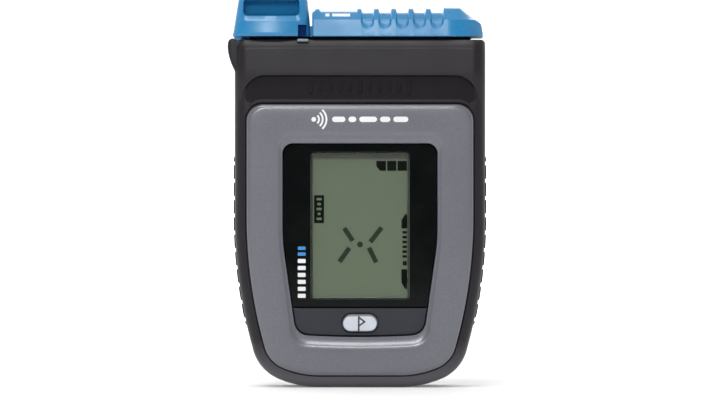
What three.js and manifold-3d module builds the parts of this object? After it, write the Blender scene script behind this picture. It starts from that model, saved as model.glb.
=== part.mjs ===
// Avalanche transceiver, upright on its foot, front towards -Y. Millimetres, +Z up.
// X is measured from the casing's centre line; the outer group then centres the whole object.
import * as THREE from 'three';
import { mergeVertices } from 'three/addons/utils/BufferGeometryUtils.js';
import Module from 'manifold-3d';

const wasm = await Module();
wasm.setup();

// ---- Driving dimensions ------------------------------------------------------------------

const HEIGHT = 118;
const DEPTH = 29;
const HALF_WIDTH = 37.05;
const LUG_REACH = 38.97; // the leash lug stands out past the left side
const CASE_TOP = 102.4;
const FOOT_HALF = 12;

const FRONT = -DEPTH / 2;
const BACK = DEPTH / 2;
const CASE_FRONT = FRONT + 1.9; // the casing's own face, behind the proud face frame
const SPLIT = 5; // plane where the front and rear shells meet
const WALL = 2.4;
const SKIN = 2;
const GAP = 0.3;
const EDGE_ROUND = 4;

// The side of the casing as tangent arcs from the foot upwards: radius, sweep in degrees, steps.
const SIDE_ARCS = [
  [31, 23.2, 3],
  [12.8, 51, 5],
  [145, 15.8, 3],
];

const RIM = 3.6; // casing left showing round the face frame
const FRAME_TOP = 83.4;
const WINDOW_TOP = 71.9;
const WINDOW_HALF = 22.85;
const WINDOW_BOTTOM = 14.9;
const STRIP_TOP = 23.7; // top of the keypad strip, bottom of the glass
const GLASS_FRONT = FRONT + 1.6;

const BUTTON = { z: 19.05, halfWidth: 5.05, halfHeight: 2.5 };

const SLIDER = { left: -14.1, right: 36.3, bottom: 103.3, front: -13.6, rear: 12.2, crest: 111.8 };
const APRON_TOP = 106.2; // the slider's lower band, plain from end to end
const SLIDER_TRAVEL = 14; // off to search, with send half way
const RIBS = { count: 5, first: -0.3, pitch: 5.1, width: 1.9, height: 1.1 };
const HUMP = { left: 24.6, right: 30.3, sunk: 0.2 };
const MAGNET = { x: 10, y: 8.4, radius: 2, low: 103.7, high: 105.6 };
const DETENT = { ball: 1.3, z: 104.5, play: 2.2 };
const RAIL = { y: -1, neck: 2.5, head: 5, reach: 32.8, low: 101.1, shoulder: 104.3, top: 105.4 };
const CATCH = { left: -37.6, right: -14.7, front: -13.6, rear: 12.2 };
const CATCH_SPRING = { x: -29, y: 5.4, low: 106.2, high: 109.2, radius: 1.3, wire: 0.22, turns: 4 };
const PIVOT = { x: -17, z: 105, pin: 0.75, hole: 1.05 }; // the catch tips about this line
const TONGUE = { left: -34.2, front: -9, rear: 7, top: 106.5 };

const GRIP = { low: 18, high: 68.4, front: -8.4, rear: 4.4, depth: 1.2 };
const NOTCH = { count: 10, top: 66, pitch: 5.11, width: 2, depth: 0.4 };

const LEASH = { left: -39.5, right: -29.6, front: 6.5, low: 92, high: 101.2 };
const LEASH_BAR = { x: -35.3, y: 12.2, radius: 1 };

const CELL = { radius: 5.2, length: 44.5, pitch: 10.9, y: 7.1, low: 13.5 };
const CONTACTS = { low: 9.7, high: 58.3, thickness: 0.4 };
const WELL = { half: 17.4, low: 9.4, high: 59.2, front: 1.6, wall: 1.4 };
const DOOR = { half: 21, top: 70, inner: 12.7, hingeY: 12.2, hingeZ: 6, barrel: 2.3, knuckle: 12 };
const LOCK = { z: 65, head: 4.6, stem: 1.6, lug: 3.3 };

const SCREW = { head: 2.4, shank: 1.1, seat: 11.3, top: 13.1, tip: -3.5 };
const SCREW_PLACES = [
  [-25.2, 12],
  [25.2, 12],
  [-30.2, 84],
  [30.2, 84],
];

const BOARD = { half: 27.2, low: 15, high: 98.5, front: -5, rear: -3.4 };
const DISPLAY = { half: 17, low: 25, high: 72.4, front: -11.2, rear: -9.8 };
const BACKLIGHT = { half: 16.4, low: 27, high: 70.5, front: -9.5, rear: -7.9 };
const CONTACT_STRIPS = { bottom: 25.1, top: 70.8, height: 1.5 };
const SPEAKER = { z: 81.6, radius: 8, rim: 6, step: 1.6, front: 8.8, rear: 12.2 };
const LENS = { left: -18.5, right: -14.1, front: -14, rear: -12.6, low: 101.2, high: 103 };
const MODES = ['off', 'send', 'search'];
const CAP = { flat: 27, low: 91.8, shoulder: 31.5, shoulderLow: 90.6, hornLow: 87.4, bevel: 1.2 };

// Three aerials, one along each axis.
const ANTENNA_ACROSS = { y: 3.4, z: 94.6 };
const ANTENNA_UPRIGHT = { x: 26, y: 3.6 };
const ANTENNA_DEPTH = { x: -26, z: 40 };

// ---- Materials ---------------------------------------------------------------------------

function finish(color, roughness, metalness = 0) {
  return new THREE.MeshStandardMaterial({ color, roughness, metalness });
}

const looks = {
  casing: finish(0x302e33, 0.55),
  frame: finish(0x77767c, 0.42),
  blue: finish(0x3382bb, 0.42),
  rubber: finish(0x1d1d20, 0.8),
  glass: finish(0x111414, 0.08),
  display: finish(0x676f5e, 0.3),
  strip: finish(0x414348, 0.5),
  button: finish(0xd8d9e1, 0.45),
  lens: finish(0xc9ccd2, 0.25),
  clear: finish(0xe4e6ea, 0.35),
  board: finish(0x1f4a33, 0.5),
  chip: finish(0x18181a, 0.5),
  steel: finish(0xa9abad, 0.3, 1),
  brass: finish(0xb59a55, 0.35, 1),
  copper: finish(0xb8703a, 0.35, 1),
  ferrite: finish(0x3a3a3d, 0.7),
  cell: finish(0x8d8f94, 0.35, 0.6),
};

// ---- Solids ------------------------------------------------------------------------------

function solid(geometry) {
  geometry.deleteAttribute('normal');
  geometry.deleteAttribute('uv');
  const merged = mergeVertices(geometry, 1e-4);
  const vertProperties = new Float32Array(merged.attributes.position.array);
  const triVerts = new Uint32Array(merged.index.array);
  return new wasm.Manifold(new wasm.Mesh({ numProp: 3, vertProperties, triVerts }));
}

function join(...bodies) {
  return bodies.reduce((sum, body) => sum.add(body));
}

function cut(body, ...tools) {
  return tools.reduce((rest, tool) => rest.subtract(tool), body);
}

// A box from its spans, each [low, high].
function block(x, y, z) {
  const geometry = new THREE.BoxGeometry(x[1] - x[0], y[1] - y[0], z[1] - z[0]);
  geometry.translate((x[0] + x[1]) / 2, (y[0] + y[1]) / 2, (z[0] + z[1]) / 2);
  return solid(geometry);
}

// Turns a shape of revolution about +Y so that it runs along the named axis.
function along(axis, geometry) {
  if (axis === 'x') geometry.rotateZ(-Math.PI / 2);
  if (axis === 'z') geometry.rotateX(Math.PI / 2);
  return geometry;
}

// A round bar along an axis over a span; (u, v) are its other two coordinates in X, Y, Z order.
function rod(axis, radius, span, u, v, sides = 16) {
  const geometry = new THREE.CylinderGeometry(radius, radius, span[1] - span[0], sides);
  const middle = (span[0] + span[1]) / 2;
  const centre = { x: [middle, u, v], y: [u, middle, v], z: [u, v, middle] }[axis];
  along(axis, geometry).translate(...centre);
  return solid(geometry);
}

// A shape of revolution about an axis through (x, y, z), from [radius, distance] profile points.
function turned(axis, profile, x, y, z, sides = 16) {
  const points = profile.map(([radius, distance]) => new THREE.Vector2(radius, distance));
  const geometry = new THREE.LatheGeometry(points, sides);
  along(axis, geometry).translate(x, y, z);
  return solid(geometry);
}

// An XZ outline given depth from front to back, with its rims rounded by bevel.
function plate(shape, [front, back], bevel = 0) {
  const geometry = new THREE.ExtrudeGeometry(shape, {
    depth: back - front - 2 * bevel,
    bevelEnabled: bevel > 0,
    bevelThickness: bevel,
    bevelSize: bevel,
    bevelOffset: -bevel,
    bevelSegments: 3,
    curveSegments: 5,
  });
  geometry.rotateX(Math.PI / 2);
  geometry.translate(0, back - bevel, 0);
  return solid(geometry);
}

// A YZ outline, given as [y, z] points, carried along X from low to high.
function beam(points, [low, high]) {
  const shape = new THREE.Shape(points.map(([y, z]) => new THREE.Vector2(y, z)));
  const geometry = new THREE.ExtrudeGeometry(shape, { depth: high - low, bevelEnabled: false });
  geometry.rotateZ(Math.PI / 2);
  geometry.rotateY(Math.PI / 2);
  geometry.translate(low, 0, 0);
  return solid(geometry);
}

function polygon(points) {
  return new THREE.Shape(points.map(([x, z]) => new THREE.Vector2(x, z)));
}

// The closed outline whose right half is the given path, from bottom centre to top centre.
function mirrored(rightHalf) {
  const left = rightHalf.filter((point) => point.x > 0.01).reverse();
  return new THREE.Shape([...rightHalf, ...left.map((point) => new THREE.Vector2(-point.x, point.y))]);
}

// A solid through a stack of XZ outlines with equal point counts, given from front to back.
function loft(rings) {
  const count = rings[0].points.length;
  const position = rings.flatMap(({ points, y }) => points.flatMap((point) => [point.x, y, point.y]));
  const index = [];
  for (let ring = 0; ring + 1 < rings.length; ring++) {
    for (let i = 0; i < count; i++) {
      const a = ring * count + i;
      const b = ring * count + ((i + 1) % count);
      index.push(a, b + count, b, a, a + count, b + count);
    }
  }
  const last = count * (rings.length - 1);
  for (const [a, b, c] of THREE.ShapeUtils.triangulateShape(rings[0].points, [])) {
    index.push(a, b, c);
  }
  for (const [a, b, c] of THREE.ShapeUtils.triangulateShape(rings.at(-1).points, [])) {
    index.push(last + a, last + c, last + b);
  }
  const geometry = new THREE.BufferGeometry();
  geometry.setAttribute('position', new THREE.Float32BufferAttribute(position, 3));
  geometry.setIndex(index);
  return solid(geometry);
}

// A coil spring along +Z of a round wire with few sides.
function coilSpring(x, y, [low, high], radius, wire, turns, topRadius = radius) {
  class Helix extends THREE.Curve {
    getPoint(t, target = new THREE.Vector3()) {
      const angle = 2 * Math.PI * turns * t;
      const r = THREE.MathUtils.lerp(radius, topRadius, t);
      const z = THREE.MathUtils.lerp(low + wire, high - wire, t);
      return target.set(x + r * Math.cos(angle), y + r * Math.sin(angle), z);
    }
  }
  const section = new THREE.Shape();
  section.absarc(0, 0, wire, 0, 2 * Math.PI);
  const steps = Math.round(turns * 10);
  const options = { extrudePath: new Helix(), steps, bevelEnabled: false, curveSegments: 3 };
  return solid(new THREE.ExtrudeGeometry(section, options));
}

// ---- Outlines ----------------------------------------------------------------------------

// The casing's outline drawn in by inset, closed at a top height with rounded corners.
function caseShape(inset, top = CASE_TOP - inset, corner = 1.2) {
  const points = [];
  let heading = 0;
  let x = FOOT_HALF;
  let z = inset;
  points.push(new THREE.Vector2(x, z));
  for (const [fullRadius, sweep, steps] of SIDE_ARCS) {
    const radius = fullRadius - inset;
    const centreX = x - radius * Math.sin(heading);
    const centreZ = z + radius * Math.cos(heading);
    for (let i = 1; i <= steps; i++) {
      const angle = heading + (THREE.MathUtils.degToRad(sweep) * i) / steps;
      x = centreX + radius * Math.sin(angle);
      z = centreZ - radius * Math.cos(angle);
      points.push(new THREE.Vector2(x, z));
    }
    heading += THREE.MathUtils.degToRad(sweep);
  }
  const cornerSteps = 3;
  for (let i = 0; i <= cornerSteps; i++) {
    const angle = ((Math.PI / 2) * i) / cornerSteps;
    const cornerX = HALF_WIDTH - inset - corner * (1 - Math.cos(angle));
    points.push(new THREE.Vector2(cornerX, top - corner * (1 - Math.sin(angle))));
  }
  return mirrored(points);
}

// The whole casing as one body, its front and rear rims rounded in quarter circles.
function pillow() {
  const steps = 3;
  const rings = [];
  for (let i = 0; i <= steps; i++) {
    const angle = ((Math.PI / 2) * i) / steps;
    const inset = EDGE_ROUND * (1 - Math.sin(angle));
    const y = CASE_FRONT + EDGE_ROUND * (1 - Math.cos(angle));
    rings.push({ points: caseShape(inset).getPoints(), y });
  }
  const middle = (CASE_FRONT + BACK) / 2;
  const rear = rings.map(({ points, y }) => ({ points, y: 2 * middle - y })).reverse();
  return loft([...rings, ...rear]);
}

// The opening in the face frame: square shoulders, tapering below, nearly flat at the bottom.
function windowShape(inset = 0) {
  const half = WINDOW_HALF - inset;
  const bottom = WINDOW_BOTTOM + inset;
  const top = WINDOW_TOP - inset;
  const right = new THREE.Path();
  right.moveTo(0, bottom);
  right.lineTo(14.8 - inset, bottom + 0.4);
  right.quadraticCurveTo(18.6 - inset, bottom + 0.6, 19.4 - inset, bottom + 4.6);
  right.lineTo(22.4 - inset, 40);
  right.quadraticCurveTo(half, 43, half, 46);
  right.lineTo(half, top - 3.1);
  right.quadraticCurveTo(half, top, half - 3.1, top);
  const points = right.getPoints(3);
  return mirrored(points);
}

function oval(halfWidth, halfHeight, z) {
  const shape = new THREE.Shape();
  shape.absellipse(0, z, halfWidth, halfHeight, 0, 2 * Math.PI);
  return shape;
}

// ---- Assembly ----------------------------------------------------------------------------

const transceiver = new THREE.Group();
const casing = new THREE.Group();
casing.position.x = (LUG_REACH - HALF_WIDTH) / 2;
transceiver.add(casing);

function addPart(name, body, look) {
  const { vertProperties, triVerts } = body.getMesh();
  const geometry = new THREE.BufferGeometry();
  geometry.setAttribute('position', new THREE.BufferAttribute(vertProperties, 3));
  geometry.setIndex(new THREE.BufferAttribute(triVerts, 1));
  geometry.computeVertexNormals();
  const mesh = new THREE.Mesh(geometry, look);
  mesh.name = name;
  casing.add(mesh);
}

// ---- Casing ------------------------------------------------------------------------------

function lug() {
  const outline = polygon([
    [-34, 92],
    [-34, CASE_TOP],
    [-36.6, CASE_TOP],
    [-37.6, 103],
    [-38.8, 101.8],
    [-LUG_REACH, 99.4],
    [-38.4, 97.6],
    [-36.8, 93.5],
  ]);
  return plate(outline, [-10, 13]);
}

function capBand() {
  const end = HALF_WIDTH - 0.5;
  const outline = polygon([
    [-CAP.flat, CAP.low],
    [CAP.flat, CAP.low],
    [CAP.shoulder, CAP.shoulderLow],
    [end, CAP.hornLow],
    [end, CASE_TOP],
    [-end, CASE_TOP],
    [-end, CAP.hornLow],
    [-CAP.shoulder, CAP.shoulderLow],
  ]);
  return plate(outline, [FRONT + 0.4, -8], CAP.bevel);
}

function grooves() {
  // the tooth under the catch runs here as the slider moves
  const toothGroove = block([-37.5, -20.4], [-12, -9.3], [101.2, CASE_TOP + 1]);
  const railSeat = block(
    [-RAIL.reach - GAP, RAIL.reach + GAP],
    [RAIL.y - RAIL.neck - GAP, RAIL.y + RAIL.neck + GAP],
    [RAIL.low - GAP, CASE_TOP + 1],
  );
  const lensSeat = block(
    [LENS.left - GAP, LENS.right + GAP],
    [LENS.front - 1, LENS.rear + GAP],
    [LENS.low - GAP, CASE_TOP + 1],
  );
  return join(toothGroove, railSeat, lensSeat);
}

function gripSeat() {
  const deep = GRIP.depth + GAP;
  const span = [GRIP.front - GAP, GRIP.rear + GAP];
  const ring = cut(plate(caseShape(-1), span), plate(caseShape(deep), span));
  return ring.intersect(block([-50, 50], [-20, 20], [GRIP.low - GAP, GRIP.high + GAP]));
}

function frontHousing() {
  const outer = join(
    pillow(),
    capBand(),
    lug(),
    block([-33, 33], [FRONT + 1.1, -8], [FRAME_TOP + GAP, 85.3]),
  ).intersect(block([-50, 50], [-20, SPLIT], [-1, 110]));
  const cavity = plate(caseShape(WALL), [CASE_FRONT + SKIN, SPLIT + 1]);
  const frameSeat = plate(caseShape(RIM - GAP, FRAME_TOP + GAP, 5), [-20, CASE_FRONT + 0.9]);
  const frameHole = plate(caseShape(RIM + 2.4, FRAME_TOP - 2.4, 4), [-20, CASE_FRONT + SKIN + 1]);
  let shell = cut(outer, cavity, frameSeat, frameHole, gripSeat(), grooves());
  for (const [x, z] of SCREW_PLACES) {
    shell = shell.add(rod('y', 2.6, [CASE_FRONT + 1.3, SPLIT], x, z));
    shell = shell.subtract(rod('y', SCREW.shank + GAP, [SCREW.tip - GAP, SPLIT + 1], x, z, 10));
  }
  return shell;
}

function leashPocket() {
  const { left, right, front, low, high } = LEASH;
  const { x, y, radius } = LEASH_BAR;
  const room = block([left, right], [front, BACK + 1], [low, high]);
  const barHole = rod('z', radius + 0.15, [low - 1.1, high + 0.5], x, y, 12);
  return join(room, barHole);
}

function leashBar() {
  return rod('z', LEASH_BAR.radius, [LEASH.low - 1, LEASH.high + 0.4], LEASH_BAR.x, LEASH_BAR.y, 12);
}

function speakerGrille() {
  const slots = [-2, -1, 0, 1, 2].map((i) => {
    const half = 5.4 - 0.7 * i * i;
    const z = SPEAKER.z + 2.4 * i;
    return block([-half, half], [12, BACK + 1], [z - 0.6, z + 0.6]);
  });
  return join(...slots);
}

// The walled bay for the cells, the ledge the door lands on, and the cup behind the door's lock.
function batteryBay() {
  const { half, low, high, front, wall } = WELL;
  const walls = block([-half - wall, half + wall], [front - 0.8, 12.4], [low - wall, high + wall]);
  const ledge = block([-DOOR.half - 1.7, DOOR.half + 1.7], [10.9, 12.4], [2.5, DOOR.top + 1.8]);
  const hingeWall = block([-DOOR.half - 1.7, DOOR.half + 1.7], [8, 12.4], [2.3, low]);
  const lockCup = block([-5.4, 5.4], [7.4, 12.4], [high, 70.4]);
  return join(walls, ledge, hingeWall, lockCup);
}

function batteryBayCuts() {
  const { half, low, high, front } = WELL;
  const room = block([-half, half], [front, 10.9], [low, high]);
  const mouth = block([-half, half], [10, BACK + 1], [low + 1.6, high]);
  const doorSeat = block([-DOOR.half - GAP, DOOR.half + GAP], [12.4, BACK + 1], [3.4, DOOR.top + GAP]);
  const barrelSeat = rod(
    'x', DOOR.barrel + GAP, [-DOOR.half - GAP, DOOR.half + GAP], DOOR.hingeY, DOOR.hingeZ, 20,
  );
  const sealGroove = doorSealRing(0.15, [11.5, 13]);
  const lockRoom = block([-4.2, 4.2], [8.2, 10.4], [61.2, 69.4]);
  const lockSlot = block([-1.9, 1.9], [8.2, 13], [61.3, 68.9]);
  return join(room, mouth, doorSeat, barrelSeat, sealGroove, lockRoom, lockSlot);
}

function doorSealRing(grow, span) {
  const outer = { half: 19.4 + grow, low: 9.3 - grow, high: 61 + grow };
  const inner = { half: 18.2 - grow, low: 10.4 + grow, high: 60 - grow };
  return cut(
    block([-outer.half, outer.half], span, [outer.low, outer.high]),
    block([-inner.half, inner.half], [span[0] - 1, span[1] + 1], [inner.low, inner.high]),
  );
}

function hingeKnuckles() {
  const reach = DOOR.half + GAP + 0.5;
  const inner = DOOR.knuckle + GAP;
  return [-1, 1].map((side) => {
    const span = side < 0 ? [-reach, -inner] : [inner, reach];
    return rod('x', 1.9, span, DOOR.hingeY, DOOR.hingeZ, 14);
  });
}

function rearHousing() {
  const outer = join(pillow(), lug());
  const half = outer.intersect(block([-50, 50], [SPLIT + GAP, 20], [-1, 110]));
  const cavity = plate(caseShape(WALL), [0, BACK - SKIN]);
  const pocketWalls = block([-36, LEASH.right + 1.3], [SPLIT + GAP, 13], [LEASH.low - 1.6, 101.8]);
  let shell = join(cut(half, cavity), batteryBay(), pocketWalls);
  shell = cut(shell, batteryBayCuts(), leashPocket(), speakerGrille());
  for (const [x, z] of SCREW_PLACES) {
    shell = shell.add(rod('y', 3.5, [SPLIT + GAP, BACK - 1], x, z));
    shell = shell.subtract(rod('y', SCREW.head + GAP, [SCREW.seat - GAP, BACK + 1], x, z));
    shell = shell.subtract(rod('y', SCREW.shank + GAP, [0, BACK], x, z, 10));
  }
  shell = join(shell, ...hingeKnuckles());
  const pinReach = DOOR.half - 2;
  return cut(shell, rod('x', 0.95, [-pinReach, pinReach], DOOR.hingeY, DOOR.hingeZ, 10));
}

function sideGrip(side) {
  const span = [GRIP.front, GRIP.rear];
  const wanted = side < 0 ? [-50, 0] : [0, 50];
  const ring = cut(plate(caseShape(0), span), plate(caseShape(GRIP.depth), span));
  let grip = ring.intersect(block(wanted, [-20, 20], [GRIP.low, GRIP.high]));
  const groove = cut(plate(caseShape(-1), [-20, 20]), plate(caseShape(NOTCH.depth), [-20, 20]));
  for (let i = 0; i < NOTCH.count; i++) {
    const z = NOTCH.top - i * NOTCH.pitch;
    const band = block([-50, 50], [-20, 20], [z - NOTCH.width / 2, z + NOTCH.width / 2]);
    grip = grip.subtract(groove.intersect(band));
  }
  return grip;
}

function housingSeal() {
  const span = [SPLIT - 1.2, SPLIT];
  return cut(plate(caseShape(WALL + 0.2), span), plate(caseShape(WALL + 1), span));
}

function housingScrew(x, z) {
  const profile = [
    [0, SCREW.tip],
    [SCREW.shank, SCREW.tip + 0.8],
    [SCREW.shank, SCREW.seat],
    [SCREW.head, SCREW.seat],
    [SCREW.head, SCREW.top - 0.4],
    [SCREW.head - 0.5, SCREW.top],
    [0, SCREW.top],
  ];
  return turned('y', profile, x, 0, z, 12);
}

// ---- Face --------------------------------------------------------------------------------

function faceFrame() {
  const shape = caseShape(RIM, FRAME_TOP, 5);
  shape.holes.push(new THREE.Path(windowShape().getPoints().reverse()));
  const bevel = 1.1;
  const full = plate(shape, [FRONT, CASE_FRONT + 4], bevel);
  return full.intersect(block([-50, 50], [-20, CASE_FRONT + 0.6], [-1, 110]));
}

function displayWindow() {
  const pane = plate(windowShape(GAP), [GLASS_FRONT, GLASS_FRONT + 1]);
  return pane.intersect(block([-50, 50], [-20, 0], [STRIP_TOP, 110]));
}

function keypadStrip() {
  const strip = plate(windowShape(GAP), [GLASS_FRONT, GLASS_FRONT + 1]);
  const lower = strip.intersect(block([-50, 50], [-20, 0], [0, STRIP_TOP - GAP]));
  const hole = oval(BUTTON.halfWidth + GAP, BUTTON.halfHeight + GAP, BUTTON.z);
  return cut(lower, plate(hole, [-20, 0]));
}

function flagButton() {
  const cap = oval(BUTTON.halfWidth, BUTTON.halfHeight, BUTTON.z);
  const flange = oval(BUTTON.halfWidth + 1, BUTTON.halfHeight + 1, BUTTON.z);
  const capBack = GLASS_FRONT + 1 + GAP;
  return join(
    plate(cap, [FRONT + 0.3, capBack + 0.2], 0.5),
    plate(flange, [capBack, capBack + 0.8]),
    rod('y', 1.5, [capBack + 0.4, -7.5], 0, BUTTON.z, 12),
  );
}

function buttonDome() {
  const base = BOARD.front - GAP;
  const profile = [
    [0, base],
    [3, base],
    [3, base - 0.4],
    [1.8, base - 1],
    [0, base - 1.2],
  ].reverse();
  return turned('y', profile, 0, 0, BUTTON.z, 12);
}

function statusLens() {
  return block([LENS.left, LENS.right], [LENS.front, LENS.rear], [LENS.low, LENS.high]);
}

// ---- Mode slider and its catch -----------------------------------------------------------

function slideRail() {
  const { y, neck, head, reach, low, shoulder, top } = RAIL;
  const outline = [
    [y - neck, low],
    [y + neck, low],
    [y + neck, shoulder],
    [y + head, shoulder],
    [y + head, top],
    [y - head, top],
    [y - head, shoulder],
    [y - neck, shoulder],
  ];
  const rail = beam(outline, [-reach, reach]);
  return cut(rail, rod('z', 1.75, [low - 1, top + 1], 0, y, 12));
}

// The slider's section across Y, lowered from its full height by drop.
function sliderSection(drop) {
  const { front, rear, bottom, crest } = SLIDER;
  return [
    [front + drop, bottom],
    [rear - drop, bottom],
    [rear - drop, 108],
    [rear - 3.4, crest - drop],
    [front + 4.6, crest - drop],
    [front + 0.3 + drop, 108.3],
  ];
}

function railSlot([low, high]) {
  const { y, neck, head, shoulder, top } = RAIL;
  const clear = 0.35;
  return join(
    block([low, high], [y - neck - clear, y + neck + clear], [102, shoulder]),
    block([low, high], [y - head - clear, y + head + clear], [shoulder - clear, top + clear]),
  );
}

// The slider's grip: a low body with ribs across it, a hump and a plain apron below.
function sliderBody() {
  const { left, right, bottom } = SLIDER;
  const upper = block([-50, 50], [-20, 20], [APRON_TOP, 120]);
  const lower = block([-50, 50], [-20, 20], [bottom, APRON_TOP]);
  const full = beam(sliderSection(0), [left, right]);
  const hump = beam(sliderSection(HUMP.sunk), [HUMP.left, HUMP.right]);
  let body = join(beam(sliderSection(RIBS.height), [left, right]), full.intersect(lower), hump);
  for (let i = 0; i < RIBS.count; i++) {
    const x = RIBS.first + RIBS.pitch * i;
    const rib = beam(sliderSection(0), [x - RIBS.width / 2, x + RIBS.width / 2]);
    body = body.add(rib.intersect(upper));
  }
  return body;
}

// Cuts the slider's right end to a slope and rounds its front corner.
function trimmedSlider() {
  const { left, right, bottom, front, rear } = SLIDER;
  const endSlope = polygon([
    [HUMP.right, 130],
    [HUMP.right, 112],
    [35.4, 107.7],
    [right, bottom],
    [right, 100],
    [60, 100],
    [60, 130],
  ]);
  const radius = 11;
  const cornerX = 26;
  const cornerY = front + radius;
  const plan = join(
    rod('z', radius, [100, 120], cornerX, cornerY, 28),
    block([left, cornerX], [front, rear], [100, 120]),
    block([cornerX - 6, right], [cornerY, rear], [100, 120]),
  );
  return cut(sliderBody(), plate(endSlope, [-20, 20])).intersect(plan);
}

function modeSlider() {
  const { left, bottom } = SLIDER;
  const tongue = block([TONGUE.left, left + 2], [TONGUE.front, TONGUE.rear], [bottom, TONGUE.top]);
  const body = cut(join(trimmedSlider(), tongue), railSlot([-60, RAIL.reach + 0.5]));
  const frontPinHole = rod('y', PIVOT.hole, [-20, -6.4], PIVOT.x, PIVOT.z, 12);
  const rearPinHole = rod('y', PIVOT.hole, [4.4, 20], PIVOT.x, PIVOT.z, 12);
  const magnetSeat = rod('z', MAGNET.radius + 0.4, [bottom - 1, MAGNET.high + 0.4], MAGNET.x, MAGNET.y, 12);
  const springSeat = rod('z', 1.9, [CATCH_SPRING.low - GAP, 108], CATCH_SPRING.x, CATCH_SPRING.y, 12);
  const ballTrack = block([-SLIDER_TRAVEL - 2, DETENT.play], [-2.8, 0.8], [105, 106.2]);
  return cut(body, frontPinHole, rearPinHole, magnetSeat, springSeat, ballTrack);
}

function lockCatch() {
  const base = SLIDER.bottom;
  const side = polygon([
    [CATCH.left, base],
    [CATCH.right, base],
    [CATCH.right - 0.8, 114.2],
    [-17.3, 117.2],
    [-20.4, HEIGHT],
    [-31.4, HEIGHT],
    [-34.6, 117],
    [-35.9, 114.1],
  ]);
  const section = [
    [CATCH.front, base],
    [CATCH.rear, base],
    [CATCH.rear, 107],
    [8.4, 113.4],
    [3.4, 117.2],
    [0, HEIGHT],
    [-9.4, HEIGHT],
    [-12.2, 116.6],
    [-13, 114.6],
    [-14, 108.3],
  ];
  const thumb = plate(side, [-20, 20]).intersect(beam(section, [-50, 0]));
  const recess = block([-34.2, -18], [-20, -6.6], [108.5, 114.4]);
  const channel = block([-50, 0], [TONGUE.front - 0.5, TONGUE.rear + 0.5], [100, 107]);
  const notch = block([PIVOT.x - 1.3, PIVOT.x + 1.3], [-20, -11.2], [100, 106.8]);
  const tooth = block([-36.9, -34.9], [-11.5, -9.8], [101.8, 104]);
  const pins = rod('y', PIVOT.hole, [-10.9, 9.9], PIVOT.x, PIVOT.z, 12);
  const springRoom = rod('z', 1.9, [106, CATCH_SPRING.high + 0.4], CATCH_SPRING.x, CATCH_SPRING.y, 12);
  return cut(join(thumb, tooth), recess, channel, notch, pins, springRoom);
}

function catchSpring() {
  const { x, y, low, high, radius, wire, turns } = CATCH_SPRING;
  return coilSpring(x, y, [low, high], radius, wire, turns);
}

function pivotPin(span) {
  return rod('y', PIVOT.pin, span, PIVOT.x, PIVOT.z, 10);
}

function sliderMagnet() {
  return rod('z', MAGNET.radius, [MAGNET.low, MAGNET.high], MAGNET.x, MAGNET.y, 12);
}

function detentBall() {
  return solid(new THREE.SphereGeometry(DETENT.ball, 12, 8).translate(0, RAIL.y, DETENT.z));
}

// ---- Battery door ------------------------------------------------------------------------

function batteryDoor() {
  const { half, top, inner, hingeY, hingeZ, barrel, knuckle } = DOOR;
  const outline = polygon([
    [-half, hingeZ + 4],
    [-knuckle, hingeZ + 4],
    [-knuckle, hingeZ],
    [knuckle, hingeZ],
    [knuckle, hingeZ + 4],
    [half, hingeZ + 4],
    [half, top - 6],
    [half - 1.8, top - 1.8],
    [half - 6, top],
    [6 - half, top],
    [1.8 - half, top - 1.8],
    [-half, top - 6],
  ]);
  const panel = join(
    plate(outline, [inner, BACK]),
    rod('x', barrel, [-knuckle, knuckle], hingeY, hingeZ, 20),
  );
  const pinHole = rod('x', 1.05, [-20, 20], hingeY, hingeZ, 10);
  const lockSeat = rod('y', LOCK.head + GAP, [BACK - 1.1, BACK + 1], 0, LOCK.z, 20);
  const lockHole = rod('y', LOCK.stem + GAP, [10, BACK + 1], 0, LOCK.z, 12);
  return cut(panel, pinHole, lockSeat, lockHole);
}

function doorLock() {
  const { z, head, stem, lug: reach } = LOCK;
  const face = rod('y', head, [BACK - 0.8, BACK], 0, z, 20);
  const shaft = rod('y', stem, [8.8, BACK - 0.5], 0, z, 12);
  const lugBar = block([-1.2, 1.2], [8.6, 10], [z - reach, z + reach]);
  const slot = block([-3.4, 3.4], [BACK - 0.5, BACK + 1], [z - 0.7, z + 0.7]);
  return cut(join(face, shaft, lugBar), slot);
}

// ---- Cells and contacts ------------------------------------------------------------------

function cell(x, low, plusUp) {
  const { radius, length, y } = CELL;
  const profile = [
    [0, 0],
    [radius - 0.6, 0],
    [radius, 0.6],
    [radius, length - 1.6],
    [radius - 0.8, length - 1],
    [1.9, length - 1],
    [1.9, length],
    [0, length],
  ];
  const flipped = profile.map(([r, z]) => [r, length - z]).reverse();
  return turned('z', plusUp ? profile : flipped, x, y, low, 20);
}

function contactPlate(low) {
  const half = WELL.half - GAP;
  return block([-half, half], [3, 10.6], [low, low + CONTACTS.thickness]);
}

// ---- Electronics -------------------------------------------------------------------------

function mainBoard() {
  const { half, low, high, front, rear } = BOARD;
  const corner = 3;
  const outline = polygon([
    [corner - half, low],
    [half - corner, low],
    [half, low + corner],
    [half, high - corner],
    [half - corner, high],
    [corner - half, high],
    [-half, high - corner],
    [-half, low + corner],
  ]);
  return plate(outline, [front, rear]);
}

function onBoard(x, z, thickness) {
  const face = BOARD.rear + GAP;
  return block(x, [face, face + thickness], z);
}

function displayHolder() {
  const span = [DISPLAY.front, BOARD.front - GAP];
  const { half, low, high } = DISPLAY;
  return cut(
    block([-half - 2, half + 2], span, [low - 1, high + 1.4]),
    block([-half - GAP, half + GAP], [-20, 0], [low - 0.2, high + GAP]),
  );
}

function displayPanel() {
  const { half, front, rear, low, high } = DISPLAY;
  return block([-half, half], [front, rear], [low, high]);
}

function backlight() {
  const { half, front, rear, low, high } = BACKLIGHT;
  return block([-half, half], [front, rear], [low, high]);
}

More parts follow.
